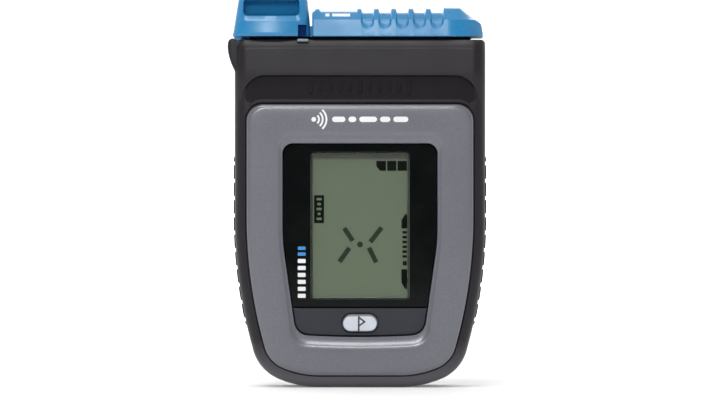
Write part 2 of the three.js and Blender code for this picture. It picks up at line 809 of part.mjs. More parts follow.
function contactStrip(low) {
  const { half, rear } = DISPLAY;
  const span = [rear + GAP, BOARD.front - GAP];
  return block([1 - half, half - 1], span, [low, low + CONTACT_STRIPS.height]);
}

function speaker() {
  const { z, radius, rim, step, front, rear } = SPEAKER;
  const profile = [
    [0, front],
    [rim, front],
    [rim, front + step],
    [radius, front + step],
    [radius, rear],
    [0, rear],
  ];
  return turned('y', profile, 0, 0, z, 20);
}

function antennaCoil(axis, x, y, z, inner, outer, halfLength) {
  const profile = [
    [inner, -halfLength],
    [outer, -halfLength],
    [outer, halfLength],
    [inner, halfLength],
    [inner, -halfLength],
  ];
  return turned(axis, profile, x, y, z, 16);
}

function acrossCoil() {
  const { y, z } = ANTENNA_ACROSS;
  return antennaCoil('x', 1, y, z, 2.5, 3.7, 16);
}

function uprightCoil() {
  const { x, y } = ANTENNA_UPRIGHT;
  return antennaCoil('z', x, y, 46, 2.5, 3.7, 18);
}

function depthCoil() {
  const { x, z } = ANTENNA_DEPTH;
  return antennaCoil('y', x, 2.9, z, 3.3, 5.4, 4.6);
}

// ---- Parts list --------------------------------------------------------------------------

addPart('front_housing', frontHousing(), looks.casing);
addPart('rear_housing', rearHousing(), looks.casing);
addPart('side_grip_left', sideGrip(-1), looks.rubber);
addPart('side_grip_right', sideGrip(1), looks.rubber);
addPart('housing_seal', housingSeal(), looks.rubber);
SCREW_PLACES.forEach(([x, z], i) => {
  addPart(`housing_screw_${i + 1}`, housingScrew(x, z), looks.steel);
});
addPart('leash_bar', leashBar(), looks.steel);

addPart('face_frame', faceFrame(), looks.frame);
addPart('display_window', displayWindow(), looks.glass);
addPart('keypad_strip', keypadStrip(), looks.strip);
addPart('flag_button', flagButton(), looks.button);
addPart('button_dome', buttonDome(), looks.steel);

addPart('slide_rail', slideRail(), looks.casing);
addPart('status_lens', statusLens(), looks.lens);
addPart('mode_slider', modeSlider(), looks.blue);
addPart('lock_catch', lockCatch(), looks.blue);
addPart('catch_pin_front', pivotPin([-10.6, -6.7]), looks.steel);
addPart('catch_pin_rear', pivotPin([4.7, 9.6]), looks.steel);
addPart('catch_spring', catchSpring(), looks.steel);
addPart('slider_magnet', sliderMagnet(), looks.steel);
addPart('detent_ball', detentBall(), looks.steel);
addPart('detent_spring', coilSpring(0, RAIL.y, [101.1, 103], 1.1, 0.18, 3), looks.steel);

addPart('battery_door', batteryDoor(), looks.casing);
addPart('door_seal', doorSealRing(0, [11.7, 12.55]), looks.rubber);
addPart('door_lock', doorLock(), looks.steel);
addPart('door_hinge_pin', rod('x', 0.75, [-18.6, 18.6], DOOR.hingeY, DOOR.hingeZ, 10), looks.steel);
for (let i = 0; i < 3; i++) {
  // the middle cell stands the other way up, so its spring is above it
  const x = (i - 1) * CELL.pitch;
  const plusUp = i !== 1;
  const low = plusUp ? CELL.low : CONTACTS.low + CONTACTS.thickness + GAP;
  addPart(`battery_${i + 1}`, cell(x, low, plusUp), looks.cell);
  const spring = plusUp
    ? coilSpring(x, CELL.y, [CONTACTS.low + 0.7, CELL.low - GAP], 3.2, 0.3, 3, 1.8)
    : coilSpring(x, CELL.y, [low + CELL.length + GAP, CONTACTS.high - GAP], 1.8, 0.3, 3, 3.2);
  addPart(`contact_spring_${i + 1}`, spring, looks.steel);
}
addPart('contact_plate_bottom', contactPlate(CONTACTS.low), looks.steel);
addPart('contact_plate_top', contactPlate(CONTACTS.high), looks.steel);

addPart('lcd_panel', displayPanel(), looks.display);
addPart('backlight', backlight(), looks.clear);
addPart('display_holder', displayHolder(), looks.chip);
addPart('contact_strip_bottom', contactStrip(CONTACT_STRIPS.bottom), looks.rubber);
addPart('contact_strip_top', contactStrip(CONTACT_STRIPS.top), looks.rubber);
addPart('main_board', mainBoard(), looks.board);
addPart('processor', onBoard([-6, 6], [66, 78], 1.2), looks.chip);
addPart('radio_shield', onBoard([-23, -9], [62, 84], 2.4), looks.steel);
addPart('clock_crystal', onBoard([9, 12.4], [68, 76], 1.8), looks.steel);
MODES.forEach((mode, i) => {
  const x = MAGNET.x + (SLIDER_TRAVEL / (MODES.length - 1)) * i;
  addPart(`hall_sensor_${mode}`, onBoard([x - 1.5, x + 1.5], [95.4, 98], 1), looks.chip);
});
addPart('speaker', speaker(), looks.chip);

addPart('antenna_across_core', rod('x', 2.2, [-25, 27], ANTENNA_ACROSS.y, ANTENNA_ACROSS.z), looks.ferrite);
addPart('antenna_across_coil', acrossCoil(), looks.copper);
addPart('antenna_upright_core', rod('z', 2.2, [17, 75], ANTENNA_UPRIGHT.x, ANTENNA_UPRIGHT.y), looks.ferrite);
addPart('antenna_upright_coil', uprightCoil(), looks.copper);
addPart('antenna_depth_core', rod('y', 3, [-2.6, 8.4], ANTENNA_DEPTH.x, ANTENNA_DEPTH.z), looks.ferrite);
addPart('antenna_depth_coil', depthCoil(), looks.copper);

export default transceiver;
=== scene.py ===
"""The avalanche transceiver's looks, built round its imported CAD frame.

Shapes are worked out in millimetres, with X measured from the casing's centre line, and are turned
into metres in the frame's own coordinates when a mesh is made. The front looks towards -Y.
"""

import math
from bisect import bisect_right

import bmesh
import bpy
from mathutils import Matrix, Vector
from mathutils.bvhtree import BVHTree


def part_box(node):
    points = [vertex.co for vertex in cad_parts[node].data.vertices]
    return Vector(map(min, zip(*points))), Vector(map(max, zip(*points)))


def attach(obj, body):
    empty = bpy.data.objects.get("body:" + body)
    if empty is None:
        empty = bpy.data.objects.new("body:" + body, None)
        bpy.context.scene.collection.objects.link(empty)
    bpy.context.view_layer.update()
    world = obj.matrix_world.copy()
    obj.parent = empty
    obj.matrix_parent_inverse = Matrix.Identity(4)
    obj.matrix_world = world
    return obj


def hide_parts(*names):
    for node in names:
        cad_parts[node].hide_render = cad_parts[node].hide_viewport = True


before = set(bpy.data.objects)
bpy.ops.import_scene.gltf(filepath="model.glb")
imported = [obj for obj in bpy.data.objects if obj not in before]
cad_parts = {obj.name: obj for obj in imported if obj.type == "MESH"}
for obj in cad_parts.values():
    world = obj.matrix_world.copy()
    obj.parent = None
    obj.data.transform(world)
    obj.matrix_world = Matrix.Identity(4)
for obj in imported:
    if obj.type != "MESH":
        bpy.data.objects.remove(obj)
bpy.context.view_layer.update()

# ---- Sizes -------------------------------------------------------------------------------

MM = 1000.0
CENTRE = (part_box("face_frame")[0].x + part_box("face_frame")[1].x) / 2 * MM


def extent(node):
    """A CAD node's lowest and highest corner, in millimetres from the centre line."""
    low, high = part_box(node)
    shift = Vector((CENTRE, 0, 0))
    return low * MM - shift, high * MM - shift


FRAME_LOW, FRAME_HIGH = extent("face_frame")
SLIDER_LOW, SLIDER_HIGH = extent("mode_slider")
CATCH_LOW, CATCH_HIGH = extent("lock_catch")
PANE_LOW, PANE_HIGH = extent("display_window")
STRIP_LOW, STRIP_HIGH = extent("keypad_strip")
LCD_LOW, LCD_HIGH = extent("lcd_panel")
DOOR_HIGH = extent("battery_door")[1]
LOCK_LOW, LOCK_HIGH = extent("door_lock")
GRIP_LOW, GRIP_HIGH = extent("side_grip_right")
BUTTON_LOW, BUTTON_HIGH = extent("flag_button")
LENS_LOW, LENS_HIGH = extent("status_lens")
BAR_LOW, BAR_HIGH = extent("leash_bar")

FRONT = FRAME_LOW.y
BACK = extent("rear_housing")[1].y
CASE_HIGH = extent("front_housing")[1]
SPLIT = CASE_HIGH.y
CASE_FRONT = FRONT + 1.9
HALF_WIDTH = CASE_HIGH.x
CAP_END = HALF_WIDTH - 0.35
ARCH_END = CAP_END - 2.1
CASE_TOP = SLIDER_LOW.z - 0.9
FOOT_HALF = 12.0
WALL = 2.4
SKIN = 2.0
EDGE_ROUND = 4.0
SEAM = 0.25
GAP = 0.3
SIDE_ARCS = ((31, 23.2, 10), (12.8, 51, 26), (145, 15.8, 20))  # radius, sweep, steps
FACE_CENTRE = (0.0, 44.0)
CAP_LOW = 91.8
LIP_LOW, LIP_SINKS = 77.5, 83.5  # where the raised edge ends, and starts to sink
BROW_HALF = 33.9
TICK_COUNT, TICK_PITCH, TICK_Z = 11, 2.9, 88.2
CAP_FRONT = FRONT + 0.3
CAP_CHAMFER = (1.1, 1.9)  # back, down
CAP_REAR, CAP_LIP, CAP_ROUND, CAP_ROWS = -8.0, 0.35, 0.9, 10
ARCH_START, ARCH_FOOT = 27.6, 84.5
TIP_RADIUS = (CAP_END - ARCH_END) / 2

RIM = FRAME_LOW.z
FRAME_TOP = FRAME_HIGH.z
FRAME_CORNER, FRAME_ROUND, FRAME_CROWN = 5.0, 1.3, 0.08
SLOPE_DEPTH = 0.5  # from the frame's shoulder down to the pane's edge
WINDOW_HALF = PANE_HIGH.x + GAP
WINDOW_TOP = PANE_HIGH.z + GAP
WINDOW_BOTTOM = STRIP_LOW.z - GAP
PANE_FRONT = PANE_LOW.y
VIEW = (-14.6, 14.6, 25.9, 69.4)  # the clear part of the pane: left, right, low, high
VIEW_LOW, VIEW_HIGH = VIEW[2:]
VIEW_CORNER = 1.0
BUTTON_Z = (BUTTON_LOW.z + BUTTON_HIGH.z) / 2
BUTTON_HALF, BUTTON_TALL = 5.05, 2.5  # half its width and half its height
MARK_FRONT = LCD_LOW.y - 0.06  # where the display's marks stand in front of its ground

RIB_PITCH = 5.1
RIB_PLACES = [-0.3 + RIB_PITCH * i for i in range(5)]
RAIL_Y = -1.0
RAIL_NECK, RAIL_HEAD, RAIL_REACH = 2.5, 5.0, 32.8
RAIL_FOOT, RAIL_SHOULDER, RAIL_TOP = 101.1, 104.3, 105.4
PIVOT_X, PIVOT_Z = -17.0, 105.0
PIN_HOLE = 1.05
CATCH_SPRING = (-29, 5.4)  # x and y of its centre

NOTCH_COUNT, NOTCH_TOP, NOTCH_PITCH, NOTCH_WIDTH, NOTCH_DEPTH = 10, 66.0, 5.11, 1.0, 0.75
GRIP_PROUD = 0.35
SEAT_SLACK = 0.15  # round a grip in its pocket

BARREL_Y, BARREL_Z, BARREL_RADIUS = 12.2, 6.0, 2.3
KNUCKLE, KNUCKLE_RADIUS = 12.0, 1.9  # half the length of the door's, and the casing's radius
DOOR_FRONT = DOOR_HIGH.y - 1.8
SEAT_FLOOR = 12.4  # where the door's seat is cut to, from the back
BAY_MOUTH, BAY_REAR = 10.9, 12.6  # the ledge round the bay's mouth, front and back
LOCK_Z = (LOCK_LOW.z + LOCK_HIGH.z) / 2
LOCK_RADIUS, LOCK_HOLE = 4.6, 1.9
CELL_PITCH, CELL_Y, CELL_RADIUS = 10.9, 7.1, 5.2
WELL_HALF, WELL_LOW, WELL_HIGH, WELL_FRONT, WELL_WALL = 17.4, 9.4, 59.2, 1.6, 1.4
SCREW_HEAD, SCREW_SHANK = 2.4, 1.1
SCREW_PLACES = ((-25.2, 12.0), (25.2, 12.0), (-30.2, 84.0), (30.2, 84.0))
SPEAKER_Z = 81.6
LEASH_LEFT, LEASH_RIGHT, LEASH_FRONT, LEASH_FLOOR, LEASH_CEILING = -39.5, -29.6, 6.5, 92.0, 101.2
SHARP_FROM = 32.0  # degrees between faces, from which an edge stays sharp
AWAY = 60.0  # well outside the object, for cuts that run right through


# ---- Outlines in the XZ plane, as lists of (x, z) ------------------------------------------


def arc(cx, cz, radius, start, end, steps):
    """Points along an arc, angles in degrees, both ends included."""
    angles = [math.radians(start + (end - start) * i / steps) for i in range(steps + 1)]
    return [(cx + radius * math.cos(a), cz + radius * math.sin(a)) for a in angles]


def mirrored(right_half):
    """The whole outline from its right half, which runs from bottom centre to top centre."""
    return right_half + [(-x, z) for x, z in reversed(right_half) if x > 0.01]


def quarter(steps):
    """Sine and cosine over a quarter turn, for rounded rims."""
    angles = [math.pi / 2 * i / steps for i in range(steps + 1)]
    return [(math.sin(a), math.cos(a)) for a in angles]


def case_outline(inset=0.0, top=None, corner=1.2):
    """The casing's outline drawn in by inset: a flat foot, three tangent arcs, a straight side."""
    top = CASE_TOP - inset if top is None else top
    x, z, heading = FOOT_HALF, inset, 0.0
    half = [(0.0, z), (x / 2, z), (x, z)]
    for full_radius, sweep, steps in SIDE_ARCS:
        radius = full_radius - inset
        cx = x - radius * math.sin(heading)
        cz = z + radius * math.cos(heading)
        for i in range(1, steps + 1):
            angle = heading + math.radians(sweep) * i / steps
            half.append((cx + radius * math.sin(angle), cz - radius * math.cos(angle)))
        x, z = half[-1]
        heading += math.radians(sweep)
    half += [(x, z + (top - corner - z) * i / 12) for i in range(1, 12)]
    half += arc(x - corner, top - corner, corner, 0, 90, 8)
    return mirrored(half)


def frame_outline(grow):
    """The face frame's outline, grown by this much."""
    return case_outline(RIM - grow, FRAME_TOP + grow, FRAME_CORNER)


def window_outline():
    """The opening in the face frame: square shoulders, tapering below, a nearly flat bottom."""
    low, half, corner = WINDOW_BOTTOM, WINDOW_HALF, 3.1
    top = WINDOW_TOP - corner
    foot, sag = 15.0, 0.4  # half the width of the bottom, and how far its ends rise
    heel, heel_rise = 19.5, 4.6  # where the taper starts
    knee, knee_rise = 22.4, 25.1  # where the taper ends
    straight = 47.0  # where the upright side starts
    right = [(foot * t / 6, low + sag * (t / 6) ** 2) for t in range(7)]
    right += bezier((foot, low + sag), (18.9, low + 0.7), (heel, low + heel_rise), 9)[1:]
    for t in range(1, 7):
        rise = heel_rise + (knee_rise - heel_rise) * t / 6
        right.append((heel + (knee - heel) * t / 6, low + rise))
    right += bezier((knee, low + knee_rise), (half, 43.2), (half, straight), 6)[1:]
    right += [(half, straight + (top - straight) * t / 6) for t in range(1, 6)]
    return mirrored(right + arc(half - corner, top, corner, 0, 90, 10))


def bezier(a, b, c, steps):
    """Points along a curve from a to c that is drawn towards b."""
    points = []
    for i in range(steps + 1):
        t = i / steps
        p = [(1 - t) ** 2 * u + 2 * t * (1 - t) * v + t * t * w for u, v, w in zip(a, b, c)]
        points.append(tuple(p))
    return points


def rounded_box(x0, x1, z0, z1, radius, steps=8):
    """A rectangle with round corners, anticlockwise from the bottom right."""
    return (
        arc(x1 - radius, z0 + radius, radius, -90, 0, steps)
        + arc(x1 - radius, z1 - radius, radius, 0, 90, steps)
        + arc(x0 + radius, z1 - radius, radius, 90, 180, steps)
        + arc(x0 + radius, z0 + radius, radius, 180, 270, steps)
    )


def stadium(half_width, half_height, x=0.0, z=0.0, steps=20):
    """A flat bar with half-round ends."""
    right = arc(x + half_width - half_height, z, half_height, -90, 90, steps)
    return right + arc(x - half_width + half_height, z, half_height, 90, 270, steps)


def circle(radius, x=0.0, z=0.0, steps=32):
    """A closed circle, anticlockwise."""
    return arc(x, z, radius, 0, 360, steps)[:-1]


def offset(outline, distance):
    """An anticlockwise outline drawn in by distance, mitred at its corners."""
    moved = []
    count = len(outline)
    for i, (x, z) in enumerate(outline):
        x0, z0 = outline[i - 1]
        x1, z1 = outline[(i + 1) % count]
        before = Vector((x - x0, z - z0)).normalized()
        after = Vector((x1 - x, z1 - z)).normalized()
        along = (before + after).normalized()
        stretch = 1 / max(0.5, along.dot(after))
        moved.append((x - along.y * distance * stretch, z + along.x * distance * stretch))
    return moved


def stretched(outline, below, above):
    """An outline made taller by these amounts below and above its middle."""
    low = min(z for _, z in outline)
    high = max(z for _, z in outline)
    middle = (low + high) / 2
    factors = (1 + below / (middle - low), 1 + above / (high - middle))
    return [(x, middle + (z - middle) * factors[z > middle]) for x, z in outline]


def cut_at(outline, height, keep_above):
    """The part of a closed outline above or below a height."""
    kept = []
    count = len(outline)
    for i, (x, z) in enumerate(outline):
        x1, z1 = outline[(i + 1) % count]
        if (z >= height) == keep_above:
            kept.append((x, z))
        if (z - height) * (z1 - height) < 0:
            t = (height - z) / (z1 - z)
            kept.append((x + (x1 - x) * t, height))
    return kept


def polar(outline, angles, centre):
    """Where rays from a centre, at these angles, meet a star-shaped outline."""
    cx, cz = centre
    seen = sorted((math.atan2(z - cz, x - cx), x - cx, z - cz) for x, z in outline)
    keys = [angle for angle, _, _ in seen]
    points = []
    for angle in angles:
        i = bisect_right(keys, angle) % len(seen)
        _, ax, az = seen[i - 1]
        _, bx, bz = seen[i]
        dx, dz = math.cos(angle), math.sin(angle)
        ca, cb = dx * az - dz * ax, dx * bz - dz * bx
        t = 0.0 if abs(ca - cb) < 1e-12 else ca / (ca - cb)
        points.append((cx + ax + (bx - ax) * t, cz + az + (bz - az) * t))
    return points


def directions(centre, *outlines):
    """Angles that pass through every corner of these outlines, with none left far apart."""
    cx, cz = centre
    found = [math.radians(d) for d in range(-179, 181, 2)]
    for outline in outlines:
        found += [math.atan2(z - cz, x - cx) for x, z in outline]
    kept = []
    for angle in sorted(found):
        if not kept or angle - kept[-1] > math.radians(0.12):
            kept.append(angle)
    return kept


def round_corners(corners, radii, steps=4):
    """A closed polygon with its corners rounded; every corner always gives steps + 1 points."""
    points = []
    count = len(corners)
    for i, corner in enumerate(corners):
        here = Vector(corner)
        back = Vector(corners[i - 1]) - here
        ahead = Vector(corners[(i + 1) % count]) - here
        reach_back = min(radii[i], 0.48 * back.length)
        reach_ahead = min(radii[i], 0.48 * ahead.length)
        start = here + back.normalized() * reach_back
        end = here + ahead.normalized() * reach_ahead
        points += bezier(tuple(start), tuple(here), tuple(end), steps)
    return points


# ---- Meshes ------------------------------------------------------------------------------


def at_y(outline, y):
    """An outline of (x, z) points set at a depth."""
    return [(x, y, z) for x, z in outline]


def at_z(outline, z):
    """An outline of (x, y) points set at a height."""
    return [(x, y, z) for x, y in outline]


def at_x(outline, x):
    """An outline of (y, z) points set at a place along X."""
    return [(x, y, z) for y, z in outline]


def loft(rings, closed=False):
    """Vertices and faces of a skin over rings with equal point counts, capped unless closed."""
    n = len(rings[0])
    verts = [point for ring in rings for point in ring]
    count = len(rings)
    faces = []
    for r in range(count if closed else count - 1):
        s = (r + 1) % count
        for i in range(n):
            j = (i + 1) % n
            faces.append((r * n + i, r * n + j, s * n + j, s * n + i))
    if not closed:
        faces.append(tuple(reversed(range(n))))
        faces.append(tuple(range((count - 1) * n, count * n)))
    return verts, faces


def stacked(plans, angles, centre, closed=True):
    """A skin over (outline, y) plans, each read along the same rays from a centre."""
    return loft([at_y(polar(plan, angles, centre), y) for plan, y in plans], closed)


def holed_plate(outline, hole, centre, front, back, edge, slack=0.0):
    """A plate with a hole through it, both its rims eased in front, the hole wider behind by slack."""
    plans = [
        (offset(hole, -slack), back),
        (hole, front + edge),
        (offset(hole, -edge), front),
        (offset(outline, edge), front),
        (outline, front + edge),
        (outline, back),
    ]
    return stacked(plans, directions(centre, outline, hole), centre)


def join(*shapes):
    """Several separate shapes as one list of vertices and faces."""
    verts, faces = [], []
    for more_verts, more_faces in shapes:
        start = len(verts)
        verts += more_verts
        faces += [tuple(i + start for i in face) for face in more_faces]
    return verts, faces


def solid(name, shape):
    """A Blender object in metres, in the frame's coordinates, with its normals outward."""
    verts, faces = shape
    mesh = bpy.data.meshes.new(name)
    mesh.from_pydata([((x + CENTRE) / MM, y / MM, z / MM) for x, y, z in verts], [], faces)
    work = bmesh.new()
    work.from_mesh(mesh)
    bmesh.ops.remove_doubles(work, verts=work.verts, dist=2e-7)
    bmesh.ops.recalc_face_normals(work, faces=work.faces)
    work.to_mesh(mesh)
    work.free()
    made = bpy.data.objects.new(name, mesh)
    bpy.context.scene.collection.objects.link(made)
    return made


def combine(target, operation, *shapes):
    """Joins shapes to an object, or cuts them from it, one after another."""
    for i, shape in enumerate(shapes):
        tool = solid(f"tool_{i}", shape)
        step = target.modifiers.new("step", "BOOLEAN")
        step.operation = operation
        step.object = tool
        step.solver = "MANIFOLD"
        made = target.evaluated_get(bpy.context.evaluated_depsgraph_get())
        mesh = bpy.data.meshes.new_from_object(made)
        target.modifiers.clear()
        target.data = mesh
        bpy.data.objects.remove(tool)
    return target


def slab(outline, y_front, y_back, front_round=0.0, back_round=0.0, steps=5, crown=0.0):
    """An outline with depth, its front and back rims rounded by insets of the outline."""
    turn = quarter(steps)
    rings = []
    for s, c in turn if front_round else turn[:1]:
        rings.append(at_y(offset(outline, front_round * (1 - s)), y_front + front_round * (1 - c)))
    for s, c in turn if back_round else turn[:1]:
        rings.append(at_y(offset(outline, back_round * (1 - c)), y_back - back_round * (1 - s)))
    return crowned(rings, crown) if crown else loft(rings)


def crowned(rings, crown, steps=6):
    """A loft whose front swells by crown from its first ring to its middle."""
    first = rings[0]
    cx = (min(p[0] for p in first) + max(p[0] for p in first)) / 2
    cz = (min(p[2] for p in first) + max(p[2] for p in first)) / 2
    domes = []
    for i in range(1, steps + 1):
        t = i / (steps + 0.3)
        y = first[0][1] - crown * math.sin(math.pi / 2 * t)
        domes.append([(cx + (x - cx) * (1 - t), y, cz + (z - cz) * (1 - t)) for x, _, z in first])
    return loft(domes[::-1] + rings)


def block(x, y, z, edge=0.0):
    """A box from its spans, its upright edges rounded if an edge radius is given."""
    outline = [(x[0], y[0]), (x[1], y[0]), (x[1], y[1]), (x[0], y[1])]
    if edge:
        outline = rounded_box(*x, *y, edge, 4)
    return loft([at_z(outline, z[0]), at_z(outline, z[1])])


def circuit(steps):
    """Cosine and sine at even steps round a full turn."""
    angles = [2 * math.pi * i / steps for i in range(steps)]
    return [(math.cos(a), math.sin(a)) for a in angles]


def placed(axis, distance, u, v):
    """A point from its distance along an axis and its other two coordinates, in X, Y, Z order."""
    return {"x": (distance, u, v), "y": (u, distance, v), "z": (u, v, distance)}[axis]


def turned(axis, profile, u, v, sides=40):
    """A solid of revolution from (radius, distance) points, about an axis through (u, v)."""
    rings = []
    for radius, distance in profile:
        round_it = [(u + radius * c, v + radius * s) for c, s in circuit(sides)]
        rings.append([placed(axis, distance, *point) for point in round_it])
    return loft(rings)


def rod(axis, radius, span, u, v, sides=32, edge=0.15):
    """A round bar along an axis through (u, v), its ends eased."""
    low, high = span
    slim = radius - edge
    profile = [(slim, low), (radius, low + edge), (radius, high - edge), (slim, high)]
    return turned(axis, profile, u, v, sides)


def bore(axis, radius, span, u, v, sides):
    """A round bar with sharp ends, for cutting holes."""
    return rod(axis, radius, span, u, v, sides, 0.0)


def tube_loft(path, radius, sides=10):
    """A round wire along a list of points, with flat ends."""
    rings = []
    side = None
    for i, point in enumerate(path):
        here = Vector(point)
        ahead = Vector(path[min(i + 1, len(path) - 1)])
        behind = Vector(path[max(i - 1, 0)])
        along = (ahead - behind).normalized()
        if side is None:
            side = along.orthogonal().normalized()
        side = (side - along * side.dot(along)).normalized()
        up = along.cross(side)
        rings.append([tuple(here + radius * (side * c + up * s)) for c, s in circuit(sides)])
    return loft(rings)


def coil(x, y, low, high, radius, top_radius, wire, turns):
    """A coil spring along Z, its last half turns lying flat."""
    steps = round(turns * 36)
    path = []
    for i in range(steps + 1):
        t = i / steps
        rise = min(1.0, max(0.0, (t - 0.1) / 0.8))
        r = radius + (top_radius - radius) * t
        angle = 2 * math.pi * turns * t
        z = low + wire + (high - low - 2 * wire) * rise
        path.append((x + r * math.cos(angle), y + r * math.sin(angle), z))
    return tube_loft(path, wire)


def strokes(points, width, y_front, y_back):
    """Straight printed strokes along an open line of (x, z) points."""
    shapes = []
    for (x0, z0), (x1, z1) in zip(points, points[1:]):
        along = Vector((x1 - x0, z1 - z0)).normalized() * width / 2
        across = Vector((-along.y, along.x))
        start = Vector((x0, z0)) - along * 0.9
        end = Vector((x1, z1)) + along * 0.9
        outline = [start - across, end - across, end + across, start + across]
        shapes.append(loft([at_y(outline, y_front), at_y(outline, y_back)]))
    return join(*shapes)


def finish(made, body, slot, material, *replaced):
    """Gives an object its shading, material and place in the frame."""
    made.data.materials.clear()
    made.data.materials.append(material)
    for face in made.data.polygons:
        face.material_index = 0
    made.data.shade_smooth()
    made.data.set_sharp_from_angle(angle=math.radians(SHARP_FROM))
    weighted = made.modifiers.new("weighted", "WEIGHTED_NORMAL")
    weighted.keep_sharp = True
    weighted.weight = 80
    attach(made, body)
    if replaced:
        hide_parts(*replaced)
    return made


def add(name, shape, body, slot, material, *replaced):
    """A finished piece made straight from its shape."""
    return finish(solid(name, shape), body, slot, material, *replaced)


# ---- Materials ---------------------------------------------------------------------------


class Nodes:
    """A node tree, with short ways to add to it."""

    def __init__(self, tree):
        self.tree = tree

    def node(self, kind, **settings):
        made = self.tree.nodes.new(kind)
        for key, value in settings.items():
            setattr(made, key, value)
        return made

    def link(self, source, target):
        self.tree.links.new(source, target)

    def remap(self, source, *limits):
        """A source read from one range (low, high) into another (low, high)."""
        made = self.node("ShaderNodeMapRange")
        for socket, value in zip(("From Min", "From Max", "To Min", "To Max"), limits):
            made.inputs[socket].default_value = value
        self.link(source, made.inputs["Value"])
        return made.outputs["Result"]


class Shader(Nodes):
    """A Principled material and the nodes that feed it."""

    def __init__(self, name, **values):
        self.material = bpy.data.materials.new(name)
        self.material.use_nodes = True
        super().__init__(self.material.node_tree)
        self.surface = self.tree.nodes["Principled BSDF"]
        for socket, value in values.items():
            self.surface.inputs[socket.replace("_", " ")].default_value = value

    def texture(self, kind, values, **settings):
        """A texture node laid out by the object's own place in metres."""
        made = self.node(kind, **settings)
        for socket, value in values.items():
            made.inputs[socket].default_value = value
        self.link(self.node("ShaderNodeTexCoord").outputs["Object"], made.inputs["Vector"])
        return made

    def along(self, axis):
        """The place along one axis, in metres."""
        return self.texture("ShaderNodeSeparateXYZ", {}).outputs[axis]

    def noise(self, scale, detail=2.0, roughness=0.5):
        values = {"Scale": scale, "Detail": detail, "Roughness": roughness}
        return self.texture("ShaderNodeTexNoise", values).outputs["Fac"]

    def mix(self, factor, first, second):
        """A colour between two, each a colour or a socket."""
        made = self.node("ShaderNodeMix", data_type="RGBA")
        self.link(factor, made.inputs["Factor"])
        for socket, value in (("A", first), ("B", second)):
            target = [i for i in made.inputs if i.name == socket and i.type == "RGBA"][0]
            if isinstance(value, tuple):
                target.default_value = (*value, 1.0)
            else:
                self.link(value, target)
        return [o for o in made.outputs if o.type == "RGBA"][0]

    def colour(self, source):
        self.link(source, self.surface.inputs["Base Color"])

    def roughness(self, source, low, high, span=(0.3, 0.7)):
        """Roughness from low to high, as a source goes over a span."""
        self.link(self.remap(source, *span, low, high), self.surface.inputs["Roughness"])

    def bump(self, source, strength, depth):
        made = self.node("ShaderNodeBump")
        made.inputs["Strength"].default_value = strength
        made.inputs["Distance"].default_value = depth / MM
        self.link(source, made.inputs["Height"])
        self.link(made.outputs["Normal"], self.surface.inputs["Normal"])


def shade(colour, factor):
    """A colour made darker or paler."""
    return tuple(min(1.0, c * factor) for c in colour)


def plastic(name, colour, roughness, grain=0.35, grain_depth=0.02, **values):
    """Moulded plastic: a fine spark-eroded grain and slow blotches."""
    shader = Shader(name, **values)
    blotch = shader.noise(90.0, 3.0)
    tone = shader.mix(shader.remap(blotch, 0.35, 0.65, 0.0, 0.35), colour, shade(colour, 0.78))
    shader.colour(tone)
    fine = shader.noise(1.0 / (grain / MM), 3.0, 0.6)
    shader.roughness(blotch, roughness - 0.05, roughness + 0.07)
    shader.bump(fine, 0.5, grain_depth)
    return shader.material


def metal(name, colour, roughness, streak=(1.0, 1.0, 1.0)):
    """Bare metal with fine drawn streaks along one axis."""
    shader = Shader(name, Metallic=1.0)
    mapping = shader.texture("ShaderNodeMapping", {"Scale": streak})
    streaks = shader.node("ShaderNodeTexNoise")
    streaks.inputs["Scale"].default_value = 2500.0
    shader.link(mapping.outputs["Vector"], streaks.inputs["Vector"])
    fac = streaks.outputs["Fac"]
    shader.colour(shader.mix(fac, shade(colour, 0.8), colour))
    shader.roughness(fac, roughness - 0.07, roughness + 0.1)
    shader.bump(fac, 0.3, 0.006)
    return shader.material


def frame_paint():
    """Grey metallic paint over plastic: fine flake under a satin coat."""
    base = (0.132, 0.133, 0.158)
    shader = Shader("frame_paint", Metallic=0.2, Coat_Weight=0.5, Coat_Roughness=0.15)
    flake = shader.noise(5200.0, 1.0)
    slow = shader.noise(60.0, 2.0)
    tone = shader.mix(shader.remap(flake, 0.35, 0.7, 0.0, 1.0), shade(base, 0.86), shade(base, 1.16))
    shader.colour(tone)
    shader.roughness(slow, 0.29, 0.36)
    shader.bump(flake, 0.25, 0.006)
    return shader.material


def casing_plastic():
    """Dark moulded plastic, with a painted reflection of the white floor making it paler towards the
    foot.
    """
    clean, painted_floor_reflection = (0.0112, 0.0090, 0.0115), (0.100, 0.095, 0.110)
    shader = Shader("casing_plastic", Specular_IOR_Level=0.32)
    # Paler towards the foot: a painted reflection of the white floor.
    low = shader.remap(shader.along("Z"), 0.014, 0.001, 0.0, 1.0)
    blotch = shader.noise(90.0, 3.0)
    tone = shader.mix(shader.remap(blotch, 0.35, 0.65, 0.0, 0.4), clean, shade(clean, 0.75))
    tone = shader.mix(low, tone, painted_floor_reflection)
    shader.colour(tone)
    shader.roughness(blotch, 0.36, 0.46)
    shader.bump(shader.noise(2900.0, 3.0, 0.6), 0.5, 0.02)
    return shader.material


def lcd_glass():
    """The liquid crystal's grey-green ground: a fine haze, paler low down, and a painted shadow along
    the top where the pane's border shades it.
    """
    shader = Shader("lcd_ground", Coat_Weight=0.15, Coat_Roughness=0.1)
    height = shader.along("Z")
    rise = shader.remap(height, VIEW_LOW / MM, VIEW_HIGH / MM, 0.0, 1.0)
    haze = shader.noise(1400.0, 2.0)
    ground = shader.mix(rise, (0.121, 0.161, 0.095), (0.110, 0.142, 0.087))
    # A painted shadow of the pane's border across the top of the ground.
    painted_border_shadow = shader.remap(height, (VIEW_HIGH - 2.4) / MM, (VIEW_HIGH - 1.8) / MM, 0.0, 0.85)
    ground = shader.mix(painted_border_shadow, ground, (0.02, 0.024, 0.018))
    hazed = shader.remap(haze, 0.3, 0.7, 0.0, 0.15)
    shader.colour(shader.mix(hazed, ground, (0.126, 0.158, 0.101)))
    shader.roughness(haze, 0.38, 0.48)
    return shader.material


